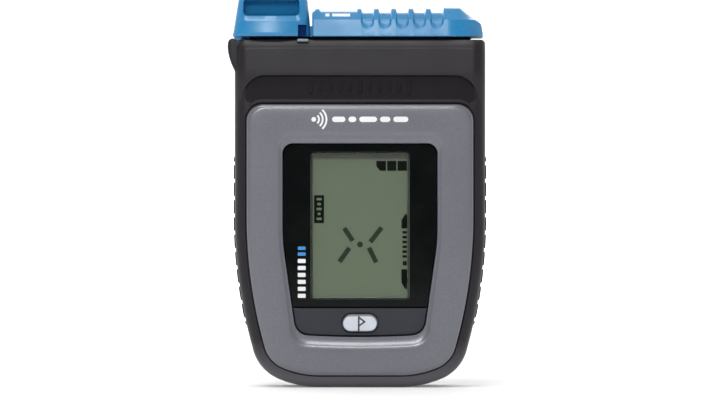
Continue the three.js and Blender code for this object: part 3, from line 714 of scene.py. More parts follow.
def black_print():
    """Black print behind a glossy hard coat, with a faint wave in the gloss."""
    shader = Shader("black_print", Specular_IOR_Level=0.14)
    slow = shader.noise(120.0, 2.0)
    shader.colour(shader.mix(slow, (0.002, 0.003, 0.003), (0.004, 0.005, 0.005)))
    shader.roughness(slow, 0.06, 0.12)
    shader.bump(slow, 0.08, 0.05)
    return shader.material


def clear_pane():
    """Nearly invisible plastic with a faint wave in its gloss."""
    shader = Shader("clear_pane", Base_Color=(0.01, 0.012, 0.01, 1.0), Alpha=0.06)
    slow = shader.noise(150.0, 2.0)
    shader.roughness(slow, 0.03, 0.07)
    return shader.material


def cell_wrap():
    """A printed cell sleeve: dark body, a pale band and bare metal ends, by height."""
    shader = Shader("cell_wrap", Metallic=0.5)
    height = shader.along("Z")
    band = shader.node("ShaderNodeValToRGB")
    band.color_ramp.interpolation = "CONSTANT"
    stops = band.color_ramp.elements
    stops[0].color = (0.42, 0.43, 0.44, 1)
    stops[1].position = 0.16
    stops[1].color = (0.025, 0.03, 0.04, 1)
    stops.new(0.62).color = (0.55, 0.56, 0.58, 1)
    stops.new(0.66).color = (0.03, 0.16, 0.35, 1)
    shader.link(shader.remap(height, WELL_LOW / MM, WELL_HIGH / MM, 0.0, 1.0), band.inputs["Fac"])
    scuff = shader.noise(700.0, 3.0)
    faded = shader.remap(scuff, 0.45, 0.75, 0.0, 0.25)
    shader.colour(shader.mix(faded, band.outputs["Color"], (0.3, 0.3, 0.32)))
    shader.roughness(scuff, 0.25, 0.4)
    return shader.material


def board_mask():
    """Green solder mask with a faint weave of tracks."""
    shader = Shader("board_mask", Coat_Weight=0.3, Coat_Roughness=0.15)
    tracks = shader.texture("ShaderNodeTexVoronoi", {"Scale": 420.0}, distance="MANHATTAN")
    fac = shader.remap(tracks.outputs["Distance"], 0.2, 0.5, 0.0, 1.0)
    shader.colour(shader.mix(fac, (0.012, 0.06, 0.028), (0.02, 0.1, 0.045)))
    shader.roughness(fac, 0.35, 0.5, (0.0, 1.0))
    shader.bump(fac, 0.3, 0.03)
    return shader.material


def winding():
    """Enamelled copper wire in fine even turns."""
    shader = Shader("winding", Metallic=0.9)
    values = {"Scale": 900.0, "Distortion": 0.3}
    bands = {"wave_type": "BANDS", "bands_direction": "DIAGONAL"}
    fac = shader.texture("ShaderNodeTexWave", values, **bands).outputs["Fac"]
    shader.colour(shader.mix(fac, (0.22, 0.07, 0.025), (0.62, 0.26, 0.1)))
    shader.roughness(fac, 0.4, 0.25, (0.0, 1.0))
    shader.bump(fac, 0.6, 0.08)
    return shader.material


CASING = casing_plastic()
BROW = plastic("brow_plastic", (0.0075, 0.0054, 0.0073), 0.55, grain_depth=0.04,
               Specular_IOR_Level=0.16)
BLUE = plastic("blue_plastic", (0.013, 0.198, 0.425), 0.3, grain=0.5, grain_depth=0.006,
               Specular_IOR_Level=0.65)
# A dark blue that paints the shade inside the catch's notch.
NOTCH_SHADE_BLUE = plastic("notch_shade_blue", (0.001, 0.022, 0.12), 0.5, grain_depth=0.006,
                    Specular_IOR_Level=0.05)
RUBBER = plastic("grip_rubber", (0.012, 0.012, 0.013), 0.68, grain=0.5, grain_depth=0.04,
                 Specular_IOR_Level=0.35)
STRIP = plastic("keypad_plastic", (0.029, 0.030, 0.040), 0.42, Specular_IOR_Level=0.25)
BUTTON = plastic("button_plastic", (0.64, 0.65, 0.70), 0.4, grain_depth=0.008,
                 Subsurface_Weight=0.1)
BUTTON_BASE = plastic("button_base_plastic", (0.20, 0.21, 0.21), 0.45)
CHIP = plastic("chip_epoxy", (0.012, 0.012, 0.013), 0.5)
LENS = plastic("milky_lens", (0.20, 0.22, 0.26), 0.3, grain_depth=0.004,
               Subsurface_Weight=0.2)
WHITE_PRINT = plastic("white_print", (0.80, 0.81, 0.82), 0.5, grain_depth=0.004)
BLUE_PRINT = plastic("blue_print", (0.03, 0.25, 0.62), 0.5, grain_depth=0.004)
DARK_PRINT = plastic("dark_print", (0.035, 0.036, 0.042), 0.5, grain_depth=0.004)
SEGMENT = plastic("lcd_segment", (0.003, 0.005, 0.003), 0.5, grain_depth=0.002,
                  Specular_IOR_Level=0.05)
FAINT_SEGMENT = plastic("lcd_faint_segment", (0.030, 0.040, 0.028), 0.5, grain_depth=0.002,
                        Specular_IOR_Level=0.05)
LCD_RIM = plastic("lcd_rim", (0.07, 0.08, 0.065), 0.3, grain_depth=0.002)
FERRITE = plastic("ferrite", (0.035, 0.035, 0.038), 0.6, grain=0.3, grain_depth=0.03)
STEEL = metal("steel", (0.55, 0.55, 0.57), 0.3, (1.0, 1.0, 0.08))
DARK_STEEL = metal("dark_steel", (0.16, 0.16, 0.17), 0.36, (0.1, 1.0, 1.0))
FRAME_PAINT = frame_paint()
LCD = lcd_glass()
BLACK = black_print()
CLEAR = clear_pane()
CELL = cell_wrap()
BOARD = board_mask()
WINDING = winding()


# ---- Casing ------------------------------------------------------------------------------


def front_shell():
    """Outer side, rounded rim, the seat and hole of the face frame, and the inner walls."""
    seat = frame_outline(GAP)
    hole = case_outline(RIM + 2.4, FRAME_TOP - 2.4, 4.0)
    ledge = CASE_FRONT + 0.9
    rim = [(EDGE_ROUND * (1 - s), EDGE_ROUND * (1 - c)) for s, c in quarter(12)]
    plans = [(hole, CASE_FRONT + SKIN), (hole, ledge), (seat, ledge), (seat, CASE_FRONT + 0.2)]
    plans.append((frame_outline(GAP + 0.15), CASE_FRONT + 0.03))
    plans += [(case_outline(inset), CASE_FRONT + back) for inset, back in rim if inset < RIM - 0.6]
    plans += [(case_outline(0), SPLIT - SEAM), (case_outline(SEAM), SPLIT)]
    plans += [(case_outline(WALL), SPLIT), (case_outline(WALL), CASE_FRONT + SKIN)]
    return stacked(plans, directions(FACE_CENTRE, case_outline(0), seat), FACE_CENTRE)


def arch_low(x):
    """The height of the cap band's lower edge: level, then arching down to a rounded tip."""
    x = abs(x)
    if x < ARCH_START:
        return CAP_LOW
    if x < ARCH_END:
        across = (x - ARCH_START) / (ARCH_END - ARCH_START)
        return ARCH_FOOT + (CAP_LOW - ARCH_FOOT) * math.sqrt(1 - across**2)
    across = x - (CAP_END + ARCH_END) / 2
    radius = TIP_RADIUS
    return ARCH_FOOT - 2 - math.sqrt(max(0.0, radius**2 - across**2))


def cap_stations():
    """Places along X from the cap band's middle to its right end, close together where it turns."""
    places = [ARCH_START * i / 18 for i in range(18)]
    places += [ARCH_START + (ARCH_END - ARCH_START) * s for s, _ in quarter(18)]
    turns = [math.pi * (i + 0.05) / 12.05 for i in range(13)]
    return places + [ARCH_END + TIP_RADIUS * (1 - math.cos(turn)) for turn in turns]


def cap_face(x, z):
    """How far forward the cap band's face is: rounded back at the ends, sloping back below."""
    reach = max(0.0, abs(x) - (HALF_WIDTH - EDGE_ROUND))
    sideways = EDGE_ROUND - math.sqrt(EDGE_ROUND**2 - reach**2)
    lean = 0.035 * max(0.0, z - CAP_LOW) + 0.23 * max(0.0, CAP_LOW - z)
    return CAP_FRONT + sideways + lean


def cap_section(x):
    """The cap band's section at x: a rounded lower lip, the face and a chamfer along the top."""
    low = arch_low(x)
    corner = max(0.0, abs(x) - (CAP_END - CAP_ROUND))
    top = CASE_TOP - 0.03 - (CAP_ROUND - math.sqrt(CAP_ROUND**2 - corner**2))
    back, down = CAP_CHAMFER
    slope = top - down
    foot = cap_face(x, low)
    section = [(CAP_REAR, low), (foot + CAP_LIP, low), (foot + CAP_LIP * 0.3, low + CAP_LIP * 0.3)]
    for i in range(CAP_ROWS):
        z = low + CAP_LIP + (slope - low - CAP_LIP) * i / (CAP_ROWS - 1)
        section.append((cap_face(x, z), z))
    behind = cap_face(x, slope) + back
    return section + [(behind, top - 0.12), (behind + 0.2, top), (CAP_REAR, top)]


def cap_band():
    """The proud band under the slider."""
    right = cap_stations()
    places = [-x for x in reversed(right) if x > 0] + right
    return loft([at_x(cap_section(x), x) for x in places])


def lug():
    """The ear at the upper left that the leash pulls on."""
    root, top = -33.5, CASE_TOP - 0.1
    shoulder, tip = (-38.6, 102.3), (-38.95, 99.6)
    outline = [(root, 92.6), (root, top)]
    outline += bezier((-36.4, top), (-37.7, 103.3), shoulder, 5)
    outline += bezier(shoulder, (-39.1, 101.6), tip, 5)[1:]
    outline += bezier(tip, (-38.7, 96.6), (-36.8, 93.0), 6)[1:]
    return slab(outline, -12.4, 11.5, 0.9, 0.9)


def lip():
    """The raised edge that follows the face frame's top and upper corners, sinking at its ends."""
    width, ease, root = 1.3, 0.3, -9.5
    seat = frame_outline(GAP)
    lines = (offset(seat, -distance) for distance in (0.0, ease, width - ease, width))
    rings = []
    for a, b, c, d in zip(*lines):
        if a[1] < LIP_LOW:
            continue
        y = CASE_FRONT - 0.35 + 0.3 * max(0.0, LIP_SINKS - a[1])
        points = ((a, root), (a, y + ease), (b, y), (c, y), (d, y + ease), (d, root))
        rings.append([(x, depth, z) for (x, z), depth in points])
    return loft(rings)


def build_brow():
    """The dark panel in the band above the face frame, with a row of small raised ticks."""
    low, corner = FRAME_TOP + 0.6, 1.5
    right = [(0, low)] + arc(BROW_HALF - corner, low + corner, corner, -90, 0, 6)
    right += [(x, arch_low(x) - 0.1) for x in reversed(cap_stations()) if x < BROW_HALF]
    made = solid("brow_panel", slab(mirrored(right), CASE_FRONT - 0.12, CASE_FRONT + 0.6, 0.1))
    combine(made, "UNION", *index_ticks())
    finish(made, "housing", "casing", BROW)


def index_ticks():
    """Small raised ticks, the middle and the two end ones taller."""
    shapes = []
    half = 0.45
    for i in range(TICK_COUNT):
        x = (i - (TICK_COUNT - 1) / 2) * TICK_PITCH
        tall = 1.7 if i % 5 == 0 else 1.0
        outline = rounded_box(x - half, x + half, TICK_Z - tall, TICK_Z + tall, 0.3, 4)
        shapes.append(slab(outline, CASE_FRONT - 0.5, CASE_FRONT + 0.3, front_round=0.18))
    return shapes


def grip_seat(side):
    """The pocket for a side grip, following the casing's side."""
    return side_strip(side, SEAT_SLACK, 1.5, lambda z: -0.6, 0.0)


def side_point(z, inset):
    """The casing's right side at a height, and its outward direction there."""
    outline = [p for p in case_outline(0) if p[0] > 0]
    for (x0, z0), (x1, z1) in zip(outline, outline[1:]):
        if z0 <= z < z1:
            t = (z - z0) / (z1 - z0)
            across = Vector((z1 - z0, x0 - x1)).normalized()
            return x0 + (x1 - x0) * t - across.x * inset, z - across.y * inset
    raise ValueError(z)


def side_strip(side, slack, depth, surface, round_edge):
    """A strip as big as a grip and its slack, laid along the side, its face inset by surface(z)."""
    low, high = GRIP_LOW.z - slack, GRIP_HIGH.z + slack
    front, rear = GRIP_LOW.y - slack, GRIP_HIGH.y + slack
    count = round((high - low) / 0.2)
    rings = []
    for i in range(count + 1):
        z = low + (high - low) * i / count
        end = min(z - low, high - z)
        ease = round_edge - math.sqrt(max(0.0, round_edge**2 - max(0.0, round_edge - end) ** 2))
        outer_x, outer_z = side_point(z, surface(z) + ease)
        inner_x, inner_z = side_point(z, depth)
        corners = [(inner_x, front), (outer_x, front), (outer_x, rear), (inner_x, rear)]
        edge = round_edge or 0.01
        section = round_corners(corners, [0.1, edge, edge, 0.1])
        ring = []
        for x, y in section:
            t = (x - inner_x) / (outer_x - inner_x)
            ring.append((side * x, y, inner_z + (outer_z - inner_z) * t))
        rings.append(ring)
    return loft(rings)


def grip_face(z):
    """How far the grip's face is inside the casing's side at a height; below zero it is proud."""
    end = min(z - GRIP_LOW.z, GRIP_HIGH.z - z)
    face = -GRIP_PROUD * smooth_step(end / 1.2)
    for i in range(NOTCH_COUNT):
        away = abs(z - (NOTCH_TOP - i * NOTCH_PITCH))
        face += NOTCH_DEPTH * smooth_step((NOTCH_WIDTH / 2 + 0.25 - away) / 0.6)
    return face


def smooth_step(t):
    """0 up to t = 0, 1 from t = 1, and an easy curve between."""
    t = min(1.0, max(0.0, t))
    return t * t * (3 - 2 * t)


def top_grooves():
    """Cuts in the casing's top: the catch's groove, the rail's seat and the lens's seat."""
    above = CASE_TOP + 1
    tooth = block([-37.5, -20.4], [-12, -9.3], [101.2, above], 0.8)
    reach, neck = RAIL_REACH + GAP, RAIL_NECK + GAP
    rail = block([-reach, reach], [RAIL_Y - neck, RAIL_Y + neck], [RAIL_FOOT - 0.1, above], 0.4)
    lens_x = [LENS_LOW.x - 0.12, LENS_HIGH.x - 0.88]
    lens = block(lens_x, [-16, LENS_HIGH.y + 0.12], [LENS_HIGH.z - 1.3, above])
    return tooth, rail, lens


def build_front():
    """The front half of the casing, with the band under the slider, the ear and the raised edge."""
    made = solid("casing_front", front_shell())
    combine(made, "UNION", cap_band(), lug(), lip())
    combine(made, "DIFFERENCE", *top_grooves(), grip_seat(1), grip_seat(-1))
    combine(made, "DIFFERENCE", block([-AWAY, AWAY], [SPLIT, AWAY], [-AWAY, 2 * AWAY]))
    finish(made, "housing", "casing", CASING, "front_housing")


def rear_shell():
    """The back cover as a deep dish with a rounded rim."""
    start = SPLIT + GAP
    insets = [(WALL, BACK - SKIN), (WALL, start), (SEAM, start), (0, start + SEAM)]
    insets += [(EDGE_ROUND * (1 - c), BACK - EDGE_ROUND * (1 - s)) for s, c in quarter(9)]
    insets.append((EDGE_ROUND + 0.4, BACK))
    angles = directions(FACE_CENTRE, case_outline(0), case_outline(EDGE_ROUND))
    plans = [(case_outline(inset), y) for inset, y in insets]
    return stacked(plans, angles, FACE_CENTRE, closed=False)


def chamfered(outline, y_bottom, flare=0.35, floor=0.0):
    """A cutter into the back with a small slope round its mouth."""
    mouth = offset(outline, -flare - 0.3)
    rings = [at_y(offset(outline, floor), y_bottom)]
    if floor:
        rings.append(at_y(outline, y_bottom + floor))
    rings += [at_y(outline, BACK - flare), at_y(mouth, BACK + 0.3), at_y(mouth, BACK + 2)]
    return loft(rings)


def door_outline(grow=0.0):
    """The door above its hinge barrel, grown by this much."""
    half, top = DOOR_HIGH.x + grow, DOOR_HIGH.z + grow
    return rounded_box(-half, half, BARREL_Z + 4 - 2 * grow, top, 5.0 + grow, 8)


def centred(half, y, z, edge=0.0):
    """A block centred on the casing's middle."""
    return block([-half, half], y, z, edge)


def bay_walls():
    """The battery bay's walls, the ledge round the door, the lock's cup and the leash pocket's walls."""
    well_z = [WELL_LOW - WELL_WALL, WELL_HIGH + WELL_WALL]
    walls = centred(WELL_HALF + WELL_WALL, [WELL_FRONT - 0.8, BAY_REAR], well_z)
    reach = DOOR_HIGH.x + 1.7
    ledge = centred(reach, [BAY_MOUTH, BAY_REAR], [2.5, DOOR_HIGH.z + 1.8])
    hinge_wall = centred(reach, [8, BAY_REAR], [2.3, WELL_LOW])
    lock_cup = centred(5.4, [7.4, BAY_REAR], [WELL_HIGH, 70.4])
    pocket_x, pocket_z = [-36, LEASH_RIGHT + 1.3], [LEASH_FLOOR - 1.6, LEASH_CEILING - 0.2]
    pocket = block(pocket_x, [SPLIT + GAP, 13], pocket_z)
    return walls, ledge, hinge_wall, lock_cup, pocket


def bay_cuts():
    """The battery bay's room and mouth, the door's seat, its hinge, and the lock's room."""
    room = centred(WELL_HALF, [WELL_FRONT, BAY_MOUTH], [WELL_LOW, WELL_HIGH])
    mouth = slab(rounded_box(-WELL_HALF, WELL_HALF, WELL_LOW + 1.6, WELL_HIGH, 1.2), 10, BACK + 1)
    seat = chamfered(door_outline(GAP), SEAT_FLOOR)
    half = DOOR_HIGH.x + GAP
    below = centred(half, [SEAT_FLOOR, BACK + 1], [3.4, BARREL_Z + 5])
    barrel = bore("x", BARREL_RADIUS + GAP, [-half, half], BARREL_Y, BARREL_Z, 40)
    lock_room = centred(4.2, [8.2, 10.4], [61.2, 69.4])
    lock_slot = centred(LOCK_HOLE, [8.2, 13], [61.3, 68.9])
    return room, mouth, seat, below, barrel, lock_room, lock_slot


def seal_ring(grow, y0, y1):
    """The door's seal, or its groove when grown, with a bulging back."""
    centre = (0, 35)
    angles = directions(centre, rounded_box(-19.4, 19.4, 9.3, 61, 1.2))
    outer = rounded_box(-19.4 - grow, 19.4 + grow, 9.3 - grow, 61 + grow, 1.2)
    inner = rounded_box(-18.2 + grow, 18.2 - grow, 10.4 + grow, 60 - grow, 0.6)
    outer, inner = polar(outer, angles, centre), polar(inner, angles, centre)
    bulge = 0.2 if grow == 0 else 0.0
    rings = [at_y(outer, y0), at_y(outer, y1 - bulge), at_y(offset(outer, bulge), y1)]
    rings += [at_y(offset(inner, -bulge), y1), at_y(inner, y1 - bulge), at_y(inner, y0)]
    return loft(rings, closed=True)


def leash_pocket():
    """The opening at one upper corner of the back, where the leash's pin stands."""
    outline = rounded_box(LEASH_LEFT - 3, LEASH_RIGHT, LEASH_FLOOR, LEASH_CEILING - 0.6, 1.0)
    return chamfered(outline, LEASH_FRONT, 0.4, 0.8)


def screw_cuts():
    """A well with a chamfered mouth and a shank hole for each casing screw."""
    shapes = []
    well, mouth = SCREW_HEAD + GAP, SCREW_HEAD + 0.95
    for x, z in SCREW_PLACES:
        profile = [(well, 11.0), (well, BACK - 0.35), (mouth, BACK + 0.3), (mouth, BACK + 2)]
        shapes.append(turned("y", profile, x, z, 36))
        shapes.append(bore("y", SCREW_SHANK + GAP, [2, 12], x, z, 20))
    return shapes


def grille_slots():
    """The speaker's slots, shorter away from its middle."""
    shapes = []
    for i in (-2, -1, 0, 1, 2):
        outline = stadium(5.4 - 0.7 * i * i, 0.6, 0, SPEAKER_Z + 2.4 * i, 6)
        shapes.append(chamfered(outline, 11.5, 0.2))
    return shapes


def knuckles():
    """The casing's two hinge knuckles, either side of the door's."""
    reach, inner = DOOR_HIGH.x + GAP + 0.5, KNUCKLE + GAP
    spans = ([-reach, -inner], [inner, reach])
    return [rod("x", KNUCKLE_RADIUS, span, BARREL_Y, BARREL_Z, 28) for span in spans]


def build_rear():
    """The rear half of the casing, with the battery bay, the leash pocket and the speaker's slots."""
    made = solid("casing_rear", rear_shell())
    combine(made, "UNION", lug())
    combine(made, "DIFFERENCE", block([-AWAY, AWAY], [-AWAY, SPLIT + GAP], [-AWAY, 2 * AWAY]))
    bosses = [bore("y", 3.5, [SPLIT + GAP, BACK - 1], x, z, 28) for x, z in SCREW_PLACES]
    combine(made, "UNION", *bay_walls(), *bosses)
    cuts = [*bay_cuts(), seal_ring(0.15, 11.5, 13.2), leash_pocket(), *screw_cuts(), *grille_slots()]
    combine(made, "DIFFERENCE", *cuts)
    combine(made, "UNION", *knuckles())
    finish(made, "housing", "casing", CASING, "rear_housing")


def build_grips():
    """The two notched side grips."""
    for side, node in ((1, "side_grip_right"), (-1, "side_grip_left")):
        shape = side_strip(side, 0.0, 1.2, grip_face, 0.35)
        add(node.replace("side_grip", "grip"), shape, "housing", "rubber", RUBBER, node)


def build_screws():
    """The casing's four screws."""
    for i, (x, z) in enumerate(SCREW_PLACES):
        head = [(SCREW_SHANK, -3.4), (SCREW_SHANK, 11.3), (SCREW_HEAD - 0.1, 11.3)]
        head += [(SCREW_HEAD, 11.45)]
        head += [(SCREW_HEAD - 0.7 * (1 - c), 12.6 + 0.5 * s) for s, c in quarter(4)]
        head.append((0.3, 13.12))
        made = solid(f"screw_{i + 1}", turned("y", head, x, z, 40))
        combine(made, "DIFFERENCE", slab(star(x, z), 12.0, 14.0))
        finish(made, "housing", "steel", DARK_STEEL, f"housing_screw_{i + 1}")


def star(x, z, steps=36):
    """The outline of a screw's six-lobed drive socket."""
    points = []
    for k in range(steps):
        angle = 2 * math.pi * k / steps
        radius = 1.15 + 0.17 * math.cos(6 * angle)
        points.append((x + radius * math.cos(angle), z + radius * math.sin(angle)))
    return points


# ---- Face --------------------------------------------------------------------------------


def build_face_frame():
    """A rounded outer rim, a slightly crowned face, and a slope down to the window."""
    window = window_outline()
    slope = stretched(offset(window, -1.15), 2.0, 1.25)
    angles = directions(FACE_CENTRE, frame_outline(0), window)

    def ring(outline, y):
        return at_y(polar(outline, angles, FACE_CENTRE), y)

    def between(first, second, t, y):
        a, b = polar(first, angles, FACE_CENTRE), polar(second, angles, FACE_CENTRE)
        pairs = zip(a, b)
        return at_y([(x0 + (x1 - x0) * t, z0 + (z1 - z0) * t) for (x0, z0), (x1, z1) in pairs], y)

    back, edge = FRAME_HIGH.y, 0.15
    shoulder = FRONT + FRAME_CROWN
    face = frame_outline(-FRAME_ROUND)
    rings = [ring(frame_outline(-edge), back), ring(frame_outline(0), back - edge)]
    for s, c in quarter(7):
        rings.append(ring(frame_outline(-FRAME_ROUND * (1 - c)), shoulder + FRAME_ROUND * (1 - s)))
    for i in range(1, 10):
        t = i / 10
        rings.append(between(face, slope, t, shoulder - FRAME_CROWN * (1 - (2 * t - 1) ** 4)))
    for i in range(9):
        t = i / 8
        rings.append(between(slope, window, t, shoulder + SLOPE_DEPTH * slope_profile(t)))
    rings.append(ring(window, back))
    return add("face", loft(rings, closed=True), "housing", "frame", FRAME_PAINT, "face_frame")


def slope_profile(t):
    """The window's sloping surround: steepest at its outer edge, easing towards the pane."""
    return 1 - (1 - t) ** 2.2


def build_pane():
    """The black-printed pane: its border, and the clear part over the display."""
    outline = cut_at(offset(window_outline(), GAP), PANE_LOW.z, True)
    hole = rounded_box(*VIEW, VIEW_CORNER)
    centre = (0.0, (VIEW_LOW + VIEW_HIGH) / 2)
    shape = holed_plate(outline, hole, centre, PANE_FRONT, PANE_HIGH.y, 0.15, 0.05)
    border = add("pane_border", shape, "housing", "window", BLACK, "display_window")
    left, right, low, high = VIEW
    clear = rounded_box(left + GAP, right - GAP, low + GAP, high - GAP, VIEW_CORNER - GAP)
    shape = slab(clear, PANE_FRONT + 0.2, PANE_FRONT + 0.6, 0.06)
    add("pane_clear", shape, "housing", "window", CLEAR)
    return border


def build_display():
    """The display's ground, and the marks that stand on it."""
    outline = rounded_box(LCD_LOW.x, LCD_HIGH.x, LCD_LOW.z, LCD_HIGH.z, 0.4, 3)
    ground = slab(outline, LCD_LOW.y, LCD_HIGH.y, 0.08)
    add("display", ground, "housing", "display", LCD, "lcd_panel")
    add("display_marks", display_marks(), "housing", "display", SEGMENT)
    add("display_bars", display_bars(), "housing", "display", LCD)
    add("display_cross", display_cross(), "housing", "display", FAINT_SEGMENT)


def build_display_rim():
    """The pale bevelled edge of the display's glass, just inside the clear part of the pane."""
    outer = rounded_box(*VIEW, VIEW_CORNER)
    section = ((0.2, 1.5), (0.28, 1.1), (0.45, 1.0), (0.62, 1.1), (0.7, 1.5))  # inset, depth
    rings = [at_y(offset(outer, inset), PANE_FRONT + depth) for inset, depth in section]
    add("display_rim", loft(rings, closed=True), "housing", "display", LCD_RIM)


def flat(outline, lift=0.0):
    """A thin mark just in front of the display's ground."""
    y = MARK_FRONT - lift
    return loft([at_y(outline, y - 0.03), at_y(outline, y)])


def bar(x0, x1, z0, z1, corner, steps=3, lift=0.0):
    """A thin mark with round corners on the display."""
    return flat(rounded_box(x0, x1, z0, z1, corner, steps), lift)


def display_marks():
    """Generic marks: a battery gauge, a range block and a side scale."""
    low, high = 63.8, 66.7  # the battery gauge's
    marks = [
        flat([(5.9, low), (7.65, low), (7.65, high), (4.8, high), (4.8, 65.2)]),
        bar(8.0, 10.7, low, high, 0.15),
        bar(11.05, 13.8, low, high, 0.15),
        bar(-13.5, -10.6, 48.4, 56.6, 0.2),
        flat([(12.2, 46.8), (13.9, 46.8), (13.9, 51.0), (13.3, 51.0), (12.2, 49.2)]),
        flat([(12.2, 30.9), (13.2, 29.0), (13.9, 29.0), (13.9, 34.8), (12.2, 34.8)]),
        bar(12.6, 13.8, 35.9, 37.2, 0.2),
    ]
    for z in (38.2 + 1.42 * i for i in range(6)):
        marks.append(bar(12.5, 13.8, z, z + 0.75, 0.1, 2))
    return join(*marks)


def display_cross():
    """A faint cross of four arms round a dot."""
    arms = (
        [(-4.3, 46.4), (-2.5, 43.7)],
        [(-3.5, 40.6), (-5.7, 37.5)],
        [(6.0, 46.6), (3.4, 43.3)],
        [(2.9, 40.6), (4.5, 37.4)],
    )
    marks = [strokes(arm, 1.4, MARK_FRONT - 0.03, MARK_FRONT) for arm in arms]
    return join(flat(circle(0.85, 0.0, 42.1, 24)), *marks)


def display_bars():
    """Pale bars inside the dark range block, in place of lettering."""
    bars = []
    middle = -12.05
    for i, wide in enumerate((1.5, 0.8, 1.5, 1.1, 1.5)):
        z = 49.3 + 1.45 * i
        bars.append(bar(middle - wide / 2, middle + wide / 2, z, z + 0.7, 0.1, 2, 0.04))
    return join(*bars)


def build_keypad():
    """The strip below the pane, with the button's hole."""
    outline = cut_at(offset(window_outline(), GAP), STRIP_HIGH.z, False)
    centre = (0.0, BUTTON_Z)
    hole = stadium(BUTTON_HALF + GAP, BUTTON_TALL + GAP, *centre)
    shape = holed_plate(outline, hole, centre, PANE_FRONT + 0.05, STRIP_HIGH.y, 0.25)
    add("keypad", shape, "housing", "strip", STRIP, "keypad_strip")


def build_button():
    """The button's grey base with its flange and stem, its pale cap and the flag printed on it."""
    z = BUTTON_Z
    body = solid("button_base", slab(stadium(BUTTON_HALF, BUTTON_TALL, 0, z), FRONT + 0.85, -11.4, 0.5))
    flange = slab(stadium(6.0, 3.4, 0, z), -11.6, -10.8, 0.1)
    stem = rod("y", 1.5, [-11.0, BUTTON_HIGH.y], 0, z)
    combine(body, "UNION", flange, stem)
    finish(body, "flag_button", "button", BUTTON_BASE, "flag_button")
    cap = stadium(BUTTON_HALF - 0.1, 2.18, 0, z - 0.22)
    shape = slab(cap, FRONT + 0.36, FRONT + 1.2, 0.42, crown=0.06)
    add("button_cap", shape, "flag_button", "button", BUTTON)
    face = FRONT + 0.33
    pole = strokes([(-0.38, z + 1.75), (-0.38, z - 2.15)], 0.5, face - 0.045, face + 0.05)
    flag = [(-0.3, z + 1.6), (1.35, z + 0.35), (-0.3, z - 0.85)]
    icon = join(pole, strokes(flag, 0.46, face - 0.04, face + 0.05))
    add("button_flag", icon, "flag_button", "button", DARK_PRINT)


def printed(target, outlines, lift=0.03, depth=0.12):
    """Thin marks laid on the front of an object, following its surface."""
    tree = BVHTree.FromObject(target, bpy.context.evaluated_depsgraph_get())
    shapes = []
    for outline in outlines:
        rings = []
        for inset, back in ((0.0, depth), (0.0, -lift), (0.12, -lift)):
            ring = []
            for x, z in offset(outline, inset):
                start = Vector(((x + CENTRE) / MM, -0.1, z / MM))
                hit = tree.ray_cast(start, Vector((0, 1, 0)))[0]
                ring.append((x, hit.y * MM + back, z))
            rings.append(ring)
        shapes.append(loft(rings))
    return join(*shapes)


def band(points, width):
    """The outline of a stroke of even width along an open line of (x, z) points."""
    left, right = [], []
    for i, point in enumerate(points):
        here = Vector(point)
        along = Vector(points[min(i + 1, len(points) - 1)]) - Vector(points[max(i - 1, 0)])
        across = Vector((-along.y, along.x)).normalized() * width / 2
        left.append(tuple(here + across))
        right.append(tuple(here - across))
    return right + left[::-1]


def build_prints(face, pane):
    """Plain printed marks: arcs and bars on the frame, and a column of ticks on the pane."""
    x, z = -13.6, 78.9
    shapes = [circle(0.7, x, z, 20)]
    shapes += [band(arc(x, z, radius, -48, 48, 10), 0.55) for radius in (1.55, 2.65, 3.75)]
    x = -8.2
    for length in (3.9, 2.3, 5.2, 3.0, 4.4):
        shapes.append(stadium(length / 2, 0.8, x + length / 2, z, 8))
        x += length + 0.9
    add("frame_print", printed(face, shapes), "housing", "button", WHITE_PRINT)
    white = printed(pane, pane_ticks(6, 26.4, 2.05, 1.2))
    add("pane_ticks_white", white, "housing", "button", WHITE_PRINT)
    blue = printed(pane, pane_ticks(2, 38.8, 1.7, 1.0))
    add("pane_ticks_blue", blue, "housing", "blue", BLUE_PRINT)


def pane_ticks(count, low, pitch, tall):
    """A column of short bars on the pane's left border."""
    lows = [low + pitch * i for i in range(count)]
    return [rounded_box(-18.3, -16.0, z, z + tall, 0.2, 3) for z in lows]


# ---- Mode slider -------------------------------------------------------------------------

SLIDER_LEFT, SLIDER_RIGHT = -14.1, SLIDER_HIGH.x
SLIDER_FRONT, SLIDER_REAR = SLIDER_LOW.y, SLIDER_HIGH.y
SLIDER_BASE = SLIDER_LOW.z
SHOULDER = 108.3
FLAT_TOP, VALLEY_TOP, RIB_TOP = 111.0, 110.6, 111.8
SCALLOP = 0.85
RIB_HALF = 0.6
BLOCK_LEFT, BLOCK_RIGHT, BLOCK_TOP = 24.7, 29.5, 112.0
NOSE_X, NOSE_TOP = 35.4, 107.7  # where the slope off the block turns down
SLOPE_BACK = 4.6  # from the slider's front to the top of its slope
END_ROUND = 0.6
FRONT_LEAN = 0.14
RING_ROUNDS = (0.3, 0.25, 0.25, 0.35, 1.6, 1.6, 0.7, 0.25, 0.25, 0.3)


def valley(x):
    """0 on a rib or a plain stretch, 1 in the hollow between two ribs."""
    if x < RIB_PLACES[0] or x > BLOCK_LEFT:
        return 0.0
    rib = min(abs(x - place) for place in RIB_PLACES)
    return smooth_step(min(rib - RIB_HALF, BLOCK_LEFT - x) / 0.5)


def scallop_low(x):
    """The height of a scallop's rounded lower edge; level where there is no scallop."""
    if x < RIB_PLACES[0] or x > BLOCK_LEFT:
        return SHOULDER
    across = min(1.0, 2 * abs(((x - RIB_PLACES[0]) / RIB_PITCH) % 1 - 0.5) / 0.76)
    return 107.6 - 1.9 * math.sqrt(1 - across**2)


